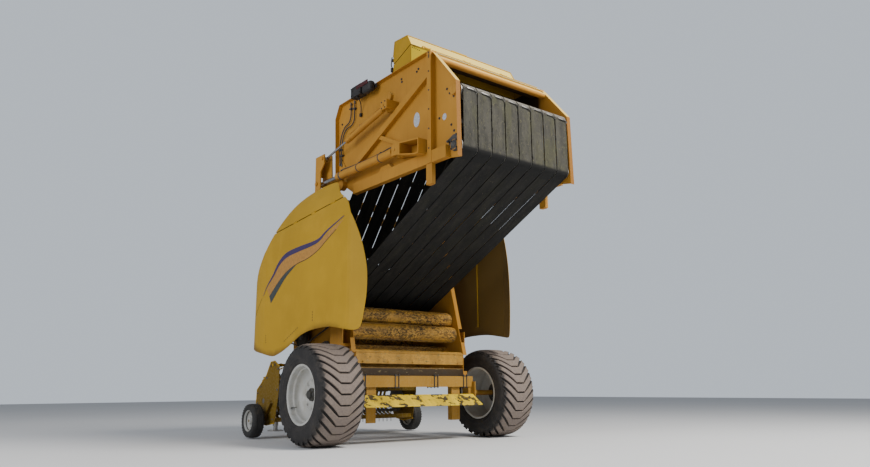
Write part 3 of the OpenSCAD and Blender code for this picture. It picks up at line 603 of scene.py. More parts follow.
def finishes(scene):
    """Makes the finishes and puts them on the fixed parts"""
    yellow, ochre = tuple(scene.baler_colours.shield), tuple(scene.baler_colours.gate)
    F.update(
        # paint()'s later settings lay painted shade and a painted highlight, as its docstring lists; the paints below
        # use them
        yellow=paint("yellow paint", yellow, 0.10, 0.05, 0.45, 0.16, under=0.25),
        shield=paint("shield paint", yellow, 0.08, 0.04, 0.45, 0.14, edge=0.75, inner_grey=0.8),
        front=paint("front panel paint", yellow, 0.15, 0.1, 0.45, 0.3, back=0.95),
        bright=paint("lid paint", times(yellow, 0.92), 0.08, 0.06, 0.45, 0.2, painted_highlight=0.75, underside_shade=0.95),
        cover=paint("cover paint", (0.95, 0.66, 0.022), 0.04, 0.04, 0.45, 0.05),
        # painted highlight: pale paint for the lit rear face of the roof's lip
        cream=paint("roof lip highlight", (0.78, 0.62, 0.32), 0.08, 0.1, 0.5, 0.2),
        gate=paint("ochre paint", ochre, 0.15, 0.2, 0.48, 0.4, under=0.30, belt_side_shade=0.96, painted_highlight=0.6, flange=1.0),
        frame=paint("frame paint", ochre, 0.3, 0.35, 0.48, 0.5, under=0.5),
        axle=paint("axle paint", times(ochre, 0.8, 0.9, 1.0), 0.4, 0.8, 0.5, 0.9, under=0.6),
        # pickup paint: the yellow darkened to a third as painted shade, with heavy dust, chips and streaks
        grimy=paint("pickup paint", times(yellow, 0.35), 0.6, 0.6, 0.6, 0.9, under=0.6),
        ramp=chaffed("ramp paint", (0.80, 0.56, 0.028), 0.3, 0.12, 0.95),
        roll=chaffed("roll paint", (0.58, 0.31, 0.045), 0.88, 0.4),
        steel=steel("rolled steel", (0.40, 0.39, 0.37), 0.35, 0.32, 0.85),
        steel_dark=steel("zinc steel", (0.22, 0.21, 0.19), 0.45, 0.42, 0.7),
        chain=steel("oiled chain", (0.12, 0.105, 0.09), 0.3, 0.38, 0.75),
        chrome=steel("rod chrome", (0.62, 0.62, 0.62), 0.06, 0.12, 1.0),
        cast=black("cast iron paint", (0.022, 0.022, 0.024), 0.45, 0.55),
        hub=black("hub paint", (0.020, 0.020, 0.018), 0.35, 0.5),
        guard=black("guard plastic", (0.020, 0.020, 0.020), 0.4, 0.45),
        black_trim=black("black trim", (0.026, 0.026, 0.027), 0.4, 0.5),
        lamp=black("lamp housing", (0.011, 0.010, 0.011), 0.15, 0.6),
        red_lens=lens("red lens", (0.075, 0.004, 0.004)),
        tread=tread_rubber("tread rubber"),
        small_tyre=black("small tyre", (0.015, 0.015, 0.015), 0.18, 0.75),
        wheel_white=wheel_paint("wheel paint"),
        belt=belting("belt face", (0.036, 0.035, 0.030), (0.066, 0.063, 0.052), 0.5, 0.6, 0.65, True),
        belt_inner=belting("belt front run", (0.011, 0.011, 0.011), (0.021, 0.020, 0.019), 0.1, 0.12, 0.3, False),
        straw=plain("stalks", (0.42, 0.34, 0.13), 0.7),
        tan=plain("tan stripe", (0.52, 0.25, 0.045)),
        purple=plain("purple stripe", (0.050, 0.030, 0.115)),
        slate=plain("slate stripe", (0.050, 0.062, 0.060)),
        # painted shade: dark brown films for the shade inside the shields' slots, crease lines and marks, and the
        # post's hole
        groove=plain("groove", (0.10, 0.060, 0.020), 0.6),
        sticker=plain("sticker", (0.55, 0.60, 0.66), spread=0.35, scale=60),
    )
    for coat, nodes in COATS.items():
        for o in (NODES[node] for node in nodes.split()):
            if not o.data.materials:
                o.data.materials.append(F[coat])
            for s in o.material_slots:
                s.link = "OBJECT"
                s.material = F[coat]
    lamp = NODES["tail_lamps"]
    if len(lamp.material_slots) > 1:
        lamp.material_slots[1].material = F["red_lens"]


# ---------------------------------------------------------------- running gear

TYRE_R, TYRE_Y = 0.511, 1.17
# half of a tyre's outer profile: place along the axle from the middle, radius
TREAD_LINE = ((0, 0.511), (0.08, 0.5095), (0.16, 0.5045), (0.200, 0.497), (0.222, 0.488),
              (0.236, 0.474), (0.244, 0.458), (0.249, 0.430), (0.250, 0.405))
CARCASS = [(0.288, 0.217), (0.302, 0.222), (0.312, 0.236), (0.318, 0.239), (0.324, 0.238), (0.345, 0.2465),
           (0.350, 0.2495), (0.356, 0.2475), (0.385, 0.2490), (0.41, 0.2485), (0.436, 0.243), (0.458, 0.230),
           (0.470, 0.208), (0.478, 0.17), (0.483, 0.09), (0.484, 0)]
# the lining closes the carcass behind the beads
LINING = [(0.296, -0.19), (0.330, -0.12), (0.330, 0.12), (0.296, 0.19)]
# a lug: how deep it is in the mesh, where its arms start and end along the tread line
LUG_DEEP, ARM_FROM, ARM_TO, ARM_STEPS = 0.040, 0.055, 0.292, 7


def tread_point(w, h):
    """Place along the axle and radius at length w along the tread line, h above it"""
    side = -1 if w < 0 else 1
    w = abs(w)
    for (a, ra), (b, rb) in zip(TREAD_LINE, TREAD_LINE[1:]):
        step = sqrt((b - a) ** 2 + (rb - ra) ** 2)
        if w <= step or (b, rb) == TREAD_LINE[-1]:
            t = w / step
            na, nr = -(rb - ra) / step, (b - a) / step
            return side * (a + (b - a) * t + na * h), ra + (rb - ra) * t + nr * h
        w -= step


def chevron(sizes):
    """One V-shaped lug, its foot in the carcass, bent round the tyre's section"""
    bar, arm = sizes.bar_width / 2, sizes.arm_width / 2
    ring = []
    for side in (1, -1):
        edge = []
        for i in range(ARM_STEPS + 1):
            w = ARM_FROM + (ARM_TO - ARM_FROM) * i / ARM_STEPS
            slope = 0.93 * (w - ARM_FROM) * (1 - 0.10 * (w / ARM_TO) ** 2)
            edge.append((slope + side * (bar + (arm - bar) * min(1, (w - ARM_FROM) / 0.05)), w))
        ring += edge[::side]
    ring += [(u, -w) for u, w in reversed(ring)]
    o = plate([Vector((u, w, 0)) for u, w in ring], (0, 0, LUG_DEEP))
    # an even bevel on the top edges
    for e in o.data.edges:
        e.select = all(o.data.vertices[i].co.z > LUG_DEEP - 0.001 for i in e.vertices)
    take(o)
    bpy.ops.object.mode_set(mode="EDIT")
    bpy.ops.mesh.select_mode(type="EDGE")
    bpy.ops.mesh.bevel(offset=0.004, segments=1)
    bpy.ops.mesh.select_all(action="SELECT")
    bpy.ops.mesh.quads_convert_to_tris(ngon_method="BEAUTY")
    leave()
    for v in o.data.vertices:
        u, w, h = v.co
        sink = max(0.0, (abs(w) - 0.245) / 0.047) * 0.018
        s, r = tread_point(w, h - LUG_DEEP - sink)
        v.co = Vector((r * sin(u / 0.50), s, r * cos(u / 0.50)))
    return o


def tyres(scene):
    """Builds both main tyres with their lugs"""
    centre = at(0, TYRE_Y, TYRE_R)
    ring = CARCASS + [(r, -y) for r, y in reversed(CARCASS[:-1])] + LINING + CARCASS[:1]
    parts = [lathe(ring, centre, 96)]
    parts += copies(chevron(scene.baler_sizes), circle_spots(centre, scene.baler_sizes.lugs))
    # rows of short ribs on the shoulders
    for low, high in ((0.245, 0.2495), (-0.2495, -0.245)):
        parts += copies(block((-0.002, low, 0.372), (0.002, high, 0.398), 0.0012), circle_spots(centre, 72, 0.02))
    pair("tyre_tread_{}", parts, "wheel {}", "tread", 38, "tyre_{}")


RIM_Y, NUTS_R = 1.398, 0.1375
# radius, depth from the rim's outer face
RIM = [(0.288, 0.440), (0.300, 0.448), (0.3005, 0.456), (0.281, 0.454), (0.276, 0.440), (0.270, 0.2),
       (0.262, 0.166), (0.232, 0.150), (0.150, 0.158), (0.058, 0.152), (0.058, 0.138), (0.108, 0.137),
       (0.112, 0.141), (0.160, 0.143), (0.164, 0.139), (0.205, 0.137), (0.226, 0.130), (0.240, 0.118),
       (0.249, 0.108), (0.252, 0.080), (0.252, 0.066), (0.256, 0.061), (0.268, 0.059), (0.272, 0.053),
       (0.274, 0.030), (0.276, 0.012), (0.281, 0.004), (0.2865, 0.001), (0.296, 0.0), (0.3005, 0.003),
       (0.3005, 0.009), (0.288, 0.012)]
HUB = [(0.0, -0.082), (0.030, -0.083), (0.040, -0.088), (0.044, -0.096), (0.046, -0.108), (0.058, -0.112),
       (0.063, -0.118), (0.064, -0.140), (0.094, -0.141), (0.096, -0.144), (0.0, -0.150)]
DRUM = [(0.060, -0.150), (0.118, -0.160), (0.118, -0.172), (0.070, -0.180), (0.062, -0.230), (0.031, -0.236),
        (0.031, -0.22)]


def wheels(scene):
    """Builds the rims, the hubs and their nuts"""
    centre = at(0, RIM_Y, TYRE_R)
    eight = circle_spots(centre, 8)
    parts = [lathe([(r, -depth) for r, depth in RIM + RIM[:1]], centre, 96)]
    # raised pads under the nuts
    parts += copies(rod((0, -0.146, NUTS_R), (0, -0.138, NUTS_R), 0.017, 16, 0.0015), eight)
    pair("rim_dish_{}", parts, "wheel {}", "wheel_white", 40, "rim_{}")
    # nuts and studs under the wheel's paint
    nut = joined([
        rod((0, -0.141, NUTS_R), (0, -0.126, NUTS_R), 0.0115, 6, 0.0015),
        rod((0, -0.135, NUTS_R), (0, -0.120, NUTS_R), 0.0065, 10, 0.001),
    ])
    pair("wheel_nuts_{}", copies(nut, eight), "wheel {}", "wheel_white")
    parts = [lathe(HUB, centre, 40), lathe(DRUM, centre, 40)]
    for place in circle_spots(centre, 6):
        parts += [put(o, place) for o in bolts([(0, -0.112, 0.0535)], OUT, 0.006)]
    valve = [rod((0, -0.078, 0.252), (0, -0.022, 0.262), 0.004, 8),
             rod((0, -0.040, 0.258), (0, -0.018, 0.263), 0.0065, 8)]
    parts += [put(o, shift(centre) @ spin(2.1)) for o in valve]
    pair("hub_{}", parts, "wheel {}", "hub")


SMALL_TYRE = [(0.107, 0.036), (0.120, 0.060), (0.130, 0.0655), (0.150, 0.0695), (0.166, 0.0675), (0.180, 0.062),
              (0.188, 0.052), (0.1935, 0.040), (0.1935, 0.030), (0.190, 0.028), (0.190, 0.020), (0.1945, 0.018),
              (0.1945, 0.005), (0.191, 0.003)]
SMALL_RIM = [(0.0165, 0.050), (0.036, 0.050), (0.040, 0.044), (0.040, 0.020), (0.060, 0.012), (0.098, 0.014),
             (0.106, 0.024), (0.111, 0.048), (0.118, 0.060), (0.123, 0.061), (0.123, 0.056), (0.116, 0.038),
             (0.112, 0.0), (0.116, -0.038), (0.123, -0.056), (0.123, -0.061), (0.118, -0.060), (0.111, -0.048),
             (0.104, -0.004), (0.060, 0.004), (0.040, -0.020), (0.040, -0.030), (0.0165, -0.030)]


def gauge_wheels(scene):
    """Builds the two small wheels of the pickup"""
    centre = at(1.640, 1.150, 0.205)
    ring = SMALL_TYRE + [(r, -y) for r, y in reversed(SMALL_TYRE)] + SMALL_TYRE[:1]
    parts = [lathe(ring, centre)]
    for low, high, start in ((-0.066, -0.050, 0.0), (0.050, 0.066, pi / 32)):
        rib = block((-0.004, low, 0.176), (0.004, high, 0.1885))
        parts += copies(rib, circle_spots(centre, 32, start))
    pair("gauge_tyre_{}", parts, "gauge wheel {}", "small_tyre", 35, "gauge_wheel_{}")
    parts = [lathe(SMALL_RIM + SMALL_RIM[:1], centre, 56)]
    parts += bolt_circle(1.640, 1.162, 0.205, 0.074, [i * 2 * pi / 5 for i in range(5)], 0.009)
    pair("gauge_rim_{}", parts, "gauge wheel {}", "wheel_white")


# ---------------------------------------------------------------- belts

# the rollers that the belts run round: x, z, radius
UPPER_ROLL, LIFT_ROLL, FRONT_ROLL, LOW_ROLL = (
    (-1.682, 3.330, 0.070), (-0.600, 3.621, 0.070), (1.170, 1.363, 0.087), (-1.682, 2.782, 0.070))
BELTS, BELT_PITCH, BELT_W, BELT_T = 8, 0.181, 0.168, 0.008
LACING_HOOK = [(-0.013, 0, 0.0004), (-0.007, 0, 0.0026), (0, 0, 0.0034), (0.007, 0, 0.0026), (0.013, 0, 0.0004)]
LACING_PIN = [(-0.009, 0.028, 0.0050), (-0.010, -0.030, 0.0060), (-0.013, -0.066, 0.0070),
              (-0.018, -0.080, 0.0075), (-0.034, -0.083, 0.0060)]


def leaving(c, d, r):
    """Where a band at distance r round circle c goes over to circle d"""
    v = Vector((d[0] - c[0], d[1] - c[1]))
    u = v / v.length
    s = (d[2] - c[2]) / v.length
    m = Vector((-u.y, u.x)) * sqrt(1 - s * s) - u * s
    return Vector(c[:2]) + m * (c[2] + r), Vector(d[:2]) + m * (d[2] + r), atan2(m.y, m.x)


def round_roll(roll, r, turn, last, n):
    """The points between two directions on the way round a roll"""
    while last > turn:
        last -= 2 * pi
    angles = [turn + (last - turn) * i / n for i in range(1, n)]
    return [Vector(roll[:2]) + Vector((cos(g), sin(g))) * (roll[2] + r) for g in angles]


def chamber_line():
    """Middle line of a belt from the tailgate's cut, round the front roller and back"""
    t = 0.0003 + BELT_T / 2
    a, b, turn = leaving(LIFT_ROLL, FRONT_ROLL, t)
    c, d, last = leaving(FRONT_ROLL, LOW_ROLL, t)
    first, final = a + (b - a) * 0.035, c + (d - c) * 0.974
    line = [first + (b - first) * i / 26 for i in range(27)]
    return line + round_roll(FRONT_ROLL, t, turn, last, 10) + [c + (final - c) * i / 30 for i in range(31)]


def belts(scene):
    """Builds the belts' front run, lacings and threads"""
    places = [(i - (BELTS - 1) / 2) * BELT_PITCH for i in range(BELTS)]
    drawn([at(p.x, places[0] - BELT_W / 2, p.y) for p in chamber_line()])
    bpy.ops.mesh.extrude_region_move(TRANSFORM_OT_translate={"value": (0, BELT_W, 0)})
    o = settle(leave())
    thick = o.modifiers.new("thickness", "SOLIDIFY")
    thick.thickness, thick.offset = BELT_T, 0
    take(o)
    bpy.ops.object.modifier_apply(modifier=thick.name)
    band = outward(joined(copies(o, [shift((0, y - places[0], 0)) for y in places])))
    band.name = band.data.name = "belts_front_run"
    bpy.ops.object.shade_smooth_by_angle(angle=radians(40))
    band.data.materials.append(F["belt_inner"])
    at(1.17, 0, 1.36)
    at(-0.54, 0, 2.9)
    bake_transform(band)
    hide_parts("chamber_belts")
    # the laced joints lie at the upper fold: a row of hooks, the bar over them and the pin with its bent end
    x, z, r = UPPER_ROLL
    out = r + BELT_T + 0.0004
    hook = tube(LACING_HOOK, 0.0019, 4)
    spots, bars, pins = [], [], []
    for i, y in enumerate(places):
        g = radians(171 - 4 * (i % 3))
        place = shift(at(x + out * cos(g), y, z + out * sin(g))) @ spin(pi / 2 - g)
        spots += [place @ shift((0, -BELT_W / 2 + 0.010 + 0.0125 * k, 0)) for k in range(13)]
        bar = block((-0.006, -0.050 + 0.008 * (i % 2), 0.0020), (0.005, 0.036, 0.0070), 0.0015)
        bars.append(put(bar, place @ spin(radians(-6), "Z")))
        pins.append(put(tube(LACING_PIN, 0.0048), place))
    piece("belt_lacings", copies(hook, spots), "tailgate", "steel_dark", 0)
    piece("lacing_bars", bars, "tailgate", "steel", 0)
    piece("lacing_pins", pins, "tailgate", "black_trim", 0)
    # frayed threads at the belts' edges
    rng = random.Random(5)
    rear = x - r - BELT_T + 0.0005
    spots = []
    for y in places:
        for _ in range(scene.baler_sizes.threads):
            edge = y + rng.choice((-1, 1)) * (BELT_W / 2 - 0.0006)
            high = rng.uniform(2.80, 3.32)
            spots.append(shift(at(rear, edge, high)) @ spin(rng.uniform(-0.3, 0.3), "X"))
    hair = block((0, -0.0008, 0), (-0.003, 0.0008, 0.030), 0)
    piece("belt_threads", copies(hair, spots), "tailgate", "belt_inner", 0)


# ---------------------------------------------------------------- side shields

# lines of x and z on the shield, from its front end to its rear
SWOOSH = ((-0.256, 2.335), (0.083, 2.233), (0.296, 2.151), (0.706, 2.130), (1.012, 2.106),
          (1.204, 2.032), (1.356, 1.904), (1.516, 1.787), (1.613, 1.684))
TAN_LOW = ((-0.112, 2.215), (0.078, 2.132), (0.274, 2.044), (0.515, 1.986), (0.733, 1.965),
           (1.00, 1.905), (1.22, 1.80), (1.44, 1.658))
PATCH_UP = ((0.760, 1.962), (1.000, 1.902), (1.220, 1.797), (1.437, 1.657))
PATCH_LOW = ((0.780, 1.950), (1.000, 1.850), (1.160, 1.745), (1.392, 1.572))
CREASE = ((1.653, 1.660), (1.76, 1.566), (1.879, 1.454))
UPRIGHT_MARKS = ((0.353, 1.389, 0.345, 1.27), (1.493, 1.202, 1.482, 1.095))


def between(a, b, t):
    return a[0] + (b[0] - a[0]) * t, a[1] + (b[1] - a[1]) * t


def smooth_line(points, n):
    """A smooth chain of n steps through points"""
    out, m = [], len(points)
    for j in range(n + 1):
        t = j / n * (m - 1)
        i = min(int(t), m - 2)
        k = t - i
        p = [points[max(0, min(m - 1, i + d))] for d in (-1, 0, 1, 2)]
        out.append(tuple(
            0.5 * (2 * p[1][c] + (p[2][c] - p[0][c]) * k
                   + (2 * p[0][c] - 5 * p[1][c] + 4 * p[2][c] - p[3][c]) * k * k
                   + (3 * p[1][c] - p[0][c] - 3 * p[2][c] + p[3][c]) * k ** 3)
            for c in (0, 1)))
    return out


def sticker(side, upper, lower, n, rows, lift):
    """A thin film between two lines of x and z, laid on the outer face of a side's shield"""
    name, sign = side
    a, b = smooth_line(upper, n), smooth_line(lower, n)
    clear()
    bpy.ops.mesh.primitive_grid_add(x_subdivisions=n, y_subdivisions=rows, size=1)
    o = bpy.context.object
    for v in o.data.vertices:
        i = round((v.co.x + 0.5) * n)
        x, z = between(a[i], b[i], v.co.y + 0.5)
        hit, where, _, _ = NODES[f"side_shield_{name}"].ray_cast(at(x, sign * 1.35, z), (0, -sign, 0))
        if not hit:
            raise RuntimeError(f"no {name} shield at {x:.3f}, {z:.3f}")
        v.co = where + Vector((0, sign, 0)) * lift
    edit(o)
    bpy.ops.mesh.normals_make_consistent(inside=False)
    leave()
    if (o.data.polygons[0].normal.y > 0) != (sign > 0):
        o.data.flip_normals()
    return o


def around(points, width):
    """Two lines beside a chain of points; width gives the distance between them from end to end"""
    line = smooth_line(points, 24)
    up, down = [], []
    for i, p in enumerate(line):
        q, r = line[min(i + 1, 24)], line[max(i - 1, 0)]
        d = sqrt((q[0] - r[0]) ** 2 + (q[1] - r[1]) ** 2)
        n = ((r[1] - q[1]) / d, (q[0] - r[0]) / d)
        w = width(i / 24) / 2 * (1 if n[1] >= 0 else -1)
        up.append((p[0] + n[0] * w, p[1] + n[1] * w))
        down.append((p[0] - n[0] * w, p[1] - n[1] * w))
    return up, down


def hinge_place(x, inward, rise):
    """A point near the shield's hinge, which follows the line between cap and shield"""
    return at(x, 1.0415 + 0.0215 * x - inward, 2.556 - 0.085 * x + rise)


def shields(scene):
    """Lays stripes, marks and the rubber lip of the hinge on the shields"""
    seal = [hinge_place(-0.10, 0.018, -0.020), hinge_place(1.42, 0.018, -0.020), hinge_place(1.42, 0.024, 0.026),
            hinge_place(-0.10, 0.024, 0.026)]
    pair("cap_seal_{}", [plate(seal, (0, -0.003, 0), 0.0005)], "frame", "black_trim", 0)
    tan_up = [(x, z - 0.030) for x, z in SWOOSH[:-1]]
    swoosh = around(SWOOSH, lambda t: 0.012 + 0.050 * sin(pi * min(1, t * 1.05)) ** 1.5)
    # dark lines of painted shade along the tan stripe's lower edge and along the crease
    marks = [(*around(TAN_LOW, lambda t: 0.010), 48, 1, 0.0014), (*around(CREASE, lambda t: 0.007), 12, 1, 0.0014)]
    # a row of slots low on the shield, and short upright marks, drawn as dark films of painted shade
    for k in range(9):
        x, z = between((0.996, 1.103), (0.688, 1.230), k / 8)
        marks.append((((x - 0.012, z + 0.010), (x + 0.012, z - 0.001)),
                      ((x - 0.012, z + 0.001), (x + 0.012, z - 0.010)), 3, 1, 0.0012))
    for x0, z0, x1, z1 in UPRIGHT_MARKS:
        for k in range(4):
            ends = [between((x0, z0), (x1, z1), t) for t in (k / 4, (k + 0.6) / 4)]
            marks.append((*(((x - 0.006, z), (x + 0.006, z)) for x, z in ends), 2, 1, 0.0012))
    for side in SIDES:
        for kind, finish, films in (("stripe_tan", "tan", [(tan_up, TAN_LOW, 56, 4, 0.0008)]),
                                    ("stripe_purple", "purple", [(*swoosh, 64, 3, 0.0016)]),
                                    ("shield_marks", "groove", marks),
                                    ("stripe_slate", "slate", [(PATCH_UP, PATCH_LOW, 24, 3, 0.0018)])):
            parts = [sticker(side, *film) for film in films]
            piece(f"{kind}_{side[0]}", parts, f"shield {side[0]}", finish, 0)


# ---------------------------------------------------------------- tailgate

# outer face of the walls, of the tailgate's post and of the lift cylinder's bracket
WALL, POST_FACE, BRACKET_FACE = 0.750, 0.8125, 0.905
SHEET_BOLTS = ((-1.102, 3.764), (-1.075, 3.742), (-0.804, 3.759), (-0.812, 3.725), (-1.561, 3.382), (-1.602, 3.326),
               (-1.66, 3.277), (-1.44, 3.12), (0.40, 3.62), (0.20, 3.76), (-1.62, 3.00), (-1.66, 2.93))
LOW_BEARING = ((0.0, 0.787), (0.012, 0.788), (0.022, 0.792), (0.030, 0.790), (0.034, 0.783), (0.044, 0.782),
               (0.056, 0.770), (0.061, 0.760), (0.061, 0.752))
ROLL_COVER = ((0.0, 0.783), (0.030, 0.784), (0.036, 0.782), (0.047, 0.7815), (0.052, 0.776), (0.054, 0.752))
FOUR_BOLTS = (0.8, 2.4, 3.9, 5.5)


def oval(x, y, z, wide, high, n):
    return [at(x + wide * cos(2 * pi * i / n), y, z + high * sin(2 * pi * i / n)) for i in range(n)]


def tailgate(scene):
    """Adds ribs, fasteners, stickers and pipes to the tailgate"""
    # small screws along the post, a few larger ones on the sheet
    parts = bolts(row(POST_FACE, [(-1.350, 2.83 + 0.2 * i) for i in range(6)]), OUT, 0.006)
    parts += bolts(row(WALL, SHEET_BOLTS), OUT, 0.009)
    parts += bolts(row(BRACKET_FACE, [(x, z) for z in (3.436, 3.504) for x in (-0.72, -0.66)]), OUT, 0.006)
    pair("gate_fasteners_{}", parts, "tailgate", "black_trim")
    # bearing of the lowest roller in its cut-out: flange, cover, bolts, grease nipple and take-up screw
    x, z, _ = LOW_ROLL
    parts = [lathe(LOW_BEARING, at(x, 0, z), 32)]
    parts += bolt_circle(x, 0.776, z, 0.049, FOUR_BOLTS, 0.009)
    parts += [
        rod(at(x - 0.066, 0.768, z - 0.05), at(x - 0.066, 0.768, z + 0.06), 0.007, 10, 0.001),
        block(at(x - 0.078, 0.7505, z + 0.030), at(x - 0.054, 0.782, z + 0.044)),
        tube([at(x + 0.02, 0.790, z + 0.03), at(x + 0.05, 0.796, z + 0.055), at(x + 0.075, 0.78, z + 0.05)], 0.005, 6),
        plate(row(0.7506, [(x - 0.064, z + 0.016), (x + 0.100, z + 0.016), (x + 0.104, z + 0.084),
                           (x + 0.040, z + 0.112), (x - 0.060, z + 0.106)]), (0, 0.003, 0), 0.001),
        rod(at(x + 0.085, 0.752, z + 0.05), at(x + 0.085, 0.790, z + 0.05), 0.012, 8, 0.001),
        rod(at(x - 0.040, 0.752, z + 0.09), at(x - 0.040, 0.785, z + 0.09), 0.010, 8, 0.001),
    ]
    pair("low_bearing_{}", parts, "tailgate", "black_trim")
    # rolled lips of the post, gussets, the guard plate under the latch leg
    parts = [beam(at(x, 0.790, 2.700), at(x, 0.790, 3.82), 0.010, 0.010) for x in (-1.322, -1.378)]
    parts += [
        plate(row(0.752, ((-0.70, 2.801), (-0.44, 2.801), (-0.50, 2.86), (-0.64, 2.86))), (0, 0.045, 0), 0.003),
        plate(row(0.752, ((0.26, 3.02), (0.42, 3.02), (0.42, 3.24))), (0, 0.014, 0), 0.003),
        block(at(-1.366, 0.757, 2.470), at(-1.300, 0.803, 2.482), 0.003),
    ]
    # weld beads, and the bearing covers of the two upper rollers, all under the wall's paint
    for x0, z0, x1, z1 in ((-1.350, 2.803, 0.0, 2.803), (-1.384, 2.81, -1.384, 3.84), (-1.316, 2.81, -1.316, 3.84)):
        parts.append(tube([at(x0, 0.751, z0), at((x0 + x1) / 2, 0.7515, (z0 + z1) / 2), at(x1, 0.751, z1)], 0.004, 6))
    parts += [lathe(ROLL_COVER, at(x, 0, z), 32) for x, z, _ in (UPPER_ROLL, LIFT_ROLL)]
    pair("gate_ribs_{}", parts, "tailgate", "gate")
    # blank stickers on the wall, and a hole in the post drawn as a dark film of painted shade
    ovals = [plate(oval(x, WALL + 0.0004, z, wide, high, 28), (0, 0.0009, 0))
             for x, z, wide, high in ((-1.07, 3.221, 0.050, 0.078), (-1.516, 3.113, 0.030, 0.034))]
    hole = plate(oval(-1.352, 0.8124, 3.792, 0.011, 0.026, 16), (0, 0.0008, 0))
    pair("post_hole_{}", [hole], "tailgate", "groove", 0)
    pair("gate_stickers_{}", ovals, "tailgate", "sticker", 0)
    # steel pipes clipped along the wall, with their clips and end fittings
    parts = [
        tube([at(0.36, 0.775, 3.10), at(0.36, 0.772, 3.36), at(0.30, 0.770, 3.50), at(0.12, 0.770, 3.56),
              at(0.10, 0.770, 3.66), at(0.10, 0.770, 3.80)], 0.007),
        tube([at(0.40, 0.772, 3.12), at(0.40, 0.772, 3.40), at(0.32, 0.770, 3.545), at(0.20, 0.770, 3.60),
              at(0.18, 0.770, 3.80)], 0.007),
        tube([at(0.10, 0.772, 3.45), at(-0.20, 0.770, 3.49), at(-0.52, 0.775, 3.53), at(-0.64, 0.79, 3.545)], 0.006),
    ]
    parts += [block(at(x - 0.022, 0.7505, z - 0.008), at(x + 0.022, 0.784, z + 0.008))
              for x, z in ((0.36, 3.22), (0.40, 3.30), (0.10, 3.72), (0.18, 3.74), (-0.05, 3.472), (-0.38, 3.513))]
    parts += [rod(at(x, 0.770, z - 0.016), at(x, 0.770, z + 0.016), 0.012, 6, 0.001)
              for x, z in ((0.10, 3.80), (0.18, 3.80), (0.36, 3.10), (0.40, 3.12))]
    pair("gate_pipes_{}", parts, "tailgate", "black_trim")
    # rolled lip behind the roof
    lip = rod(at(-1.4085, -0.744, 3.8075), at(-1.4085, 0.744, 3.8075), 0.0045, 10)
    piece("rear_lip", [lip], "tailgate", "yellow")


# half the width of the net box between its sheets, the place of its corner sheets
BOX_HALF, COVER_Y = 0.752, WALL + 0.0066
LID_EDGE = ((-0.974, 4.098), (-0.909, 4.218), (-0.680, 4.236), (-0.655, 4.067))


def across(x, z, half, wide, high, edge):
    """A bar across the machine"""
    return beam(at(x, -half, z), at(x, half, z), wide, high, edge)


def net_box(scene):
    """Adds the net box's ribs, edges and handle"""
    # pale strip on the rear face of the roof's lip: a painted highlight where the light strikes it
    strip = [at(x, y, z) for x, y, z in ((-1.343, -0.744, 3.8635), (-1.4095, -0.744, 3.8165),
                                         (-1.4095, 0.744, 3.8165), (-1.343, 0.744, 3.8635))]
    piece("roof_edge", [plate(strip, (-0.0012, 0, 0.0016))], "tailgate", "cream", 0)
    # rolled edges of the lid, its seams and the pressed ribs across its top
    parts = [beam(at(a[0], y, a[1]), at(b[0], y, b[1]), 0.006, 0.012, 0.0015)
             for a, b in zip(LID_EDGE, LID_EDGE[1:]) for y in (-0.7552, 0.7552)]
    parts += [across(x, z, BOX_HALF, 0.014, 0.008, 0.002) for x, z in ((-0.9095, 4.2195), (-0.681, 4.237))]
    parts += [across(x, 4.218 + (x + 0.909) * 0.0786 + 0.001, 0.66, 0.018, 0.006, 0.0025)
              for x in (-0.855, -0.795, -0.735)]
    piece("lid_edges", parts, "net lid", "yellow")
    bar = [at(-0.672, 0.10, 4.13), at(-0.640, 0.10, 4.135), at(-0.640, -0.10, 4.135), at(-0.672, -0.10, 4.13)]
    parts = [tube(bar, 0.007, 8, False)]
    parts += [block(at(-0.674, y, 4.108), at(-0.660, y + 0.04, 4.156), 0.003) for y in (-0.125, 0.085)]
    piece("lid_handle", parts, "net lid", "black_trim")
    # bright sheets over the box's rear corners, each with a row of small holes
    cover = plate(row(COVER_Y, ((-0.985, 4.066), (-0.985, 3.882), (-1.290, 3.882))), (0, 0.0012, 0))
    pair("box_cover_{}", [cover], "tailgate", "cover", 0)
    parts = bolts(row(0.7578, [(-1.010 - 0.030 * i, 4.040 - 0.0205 * i) for i in range(5)]), OUT, 0.004)
    # latch at the box's front corner
    parts += [
        tube([at(-0.655, 0.744, 3.93), at(-0.630, 0.760, 3.965), at(-0.632, 0.762, 4.03),
              at(-0.640, 0.762, 4.07)], 0.006),
        block(at(-0.648, 0.735, 3.90), at(-0.620, 0.770, 3.95), 0.004),
        block(at(-0.652, 0.740, 4.02), at(-0.626, 0.768, 4.05), 0.004),
    ]
    piece("net_box_fasteners", parts, "tailgate", "black_trim")
    parts = [across(-1.333, 3.876, BOX_HALF, 0.010, 0.012, 0.003)]
    piece("net_box_ribs", parts, "tailgate", "yellow")


# from the inner to the outer side of a lamp
LAMP_Y = (0.798, 0.885)


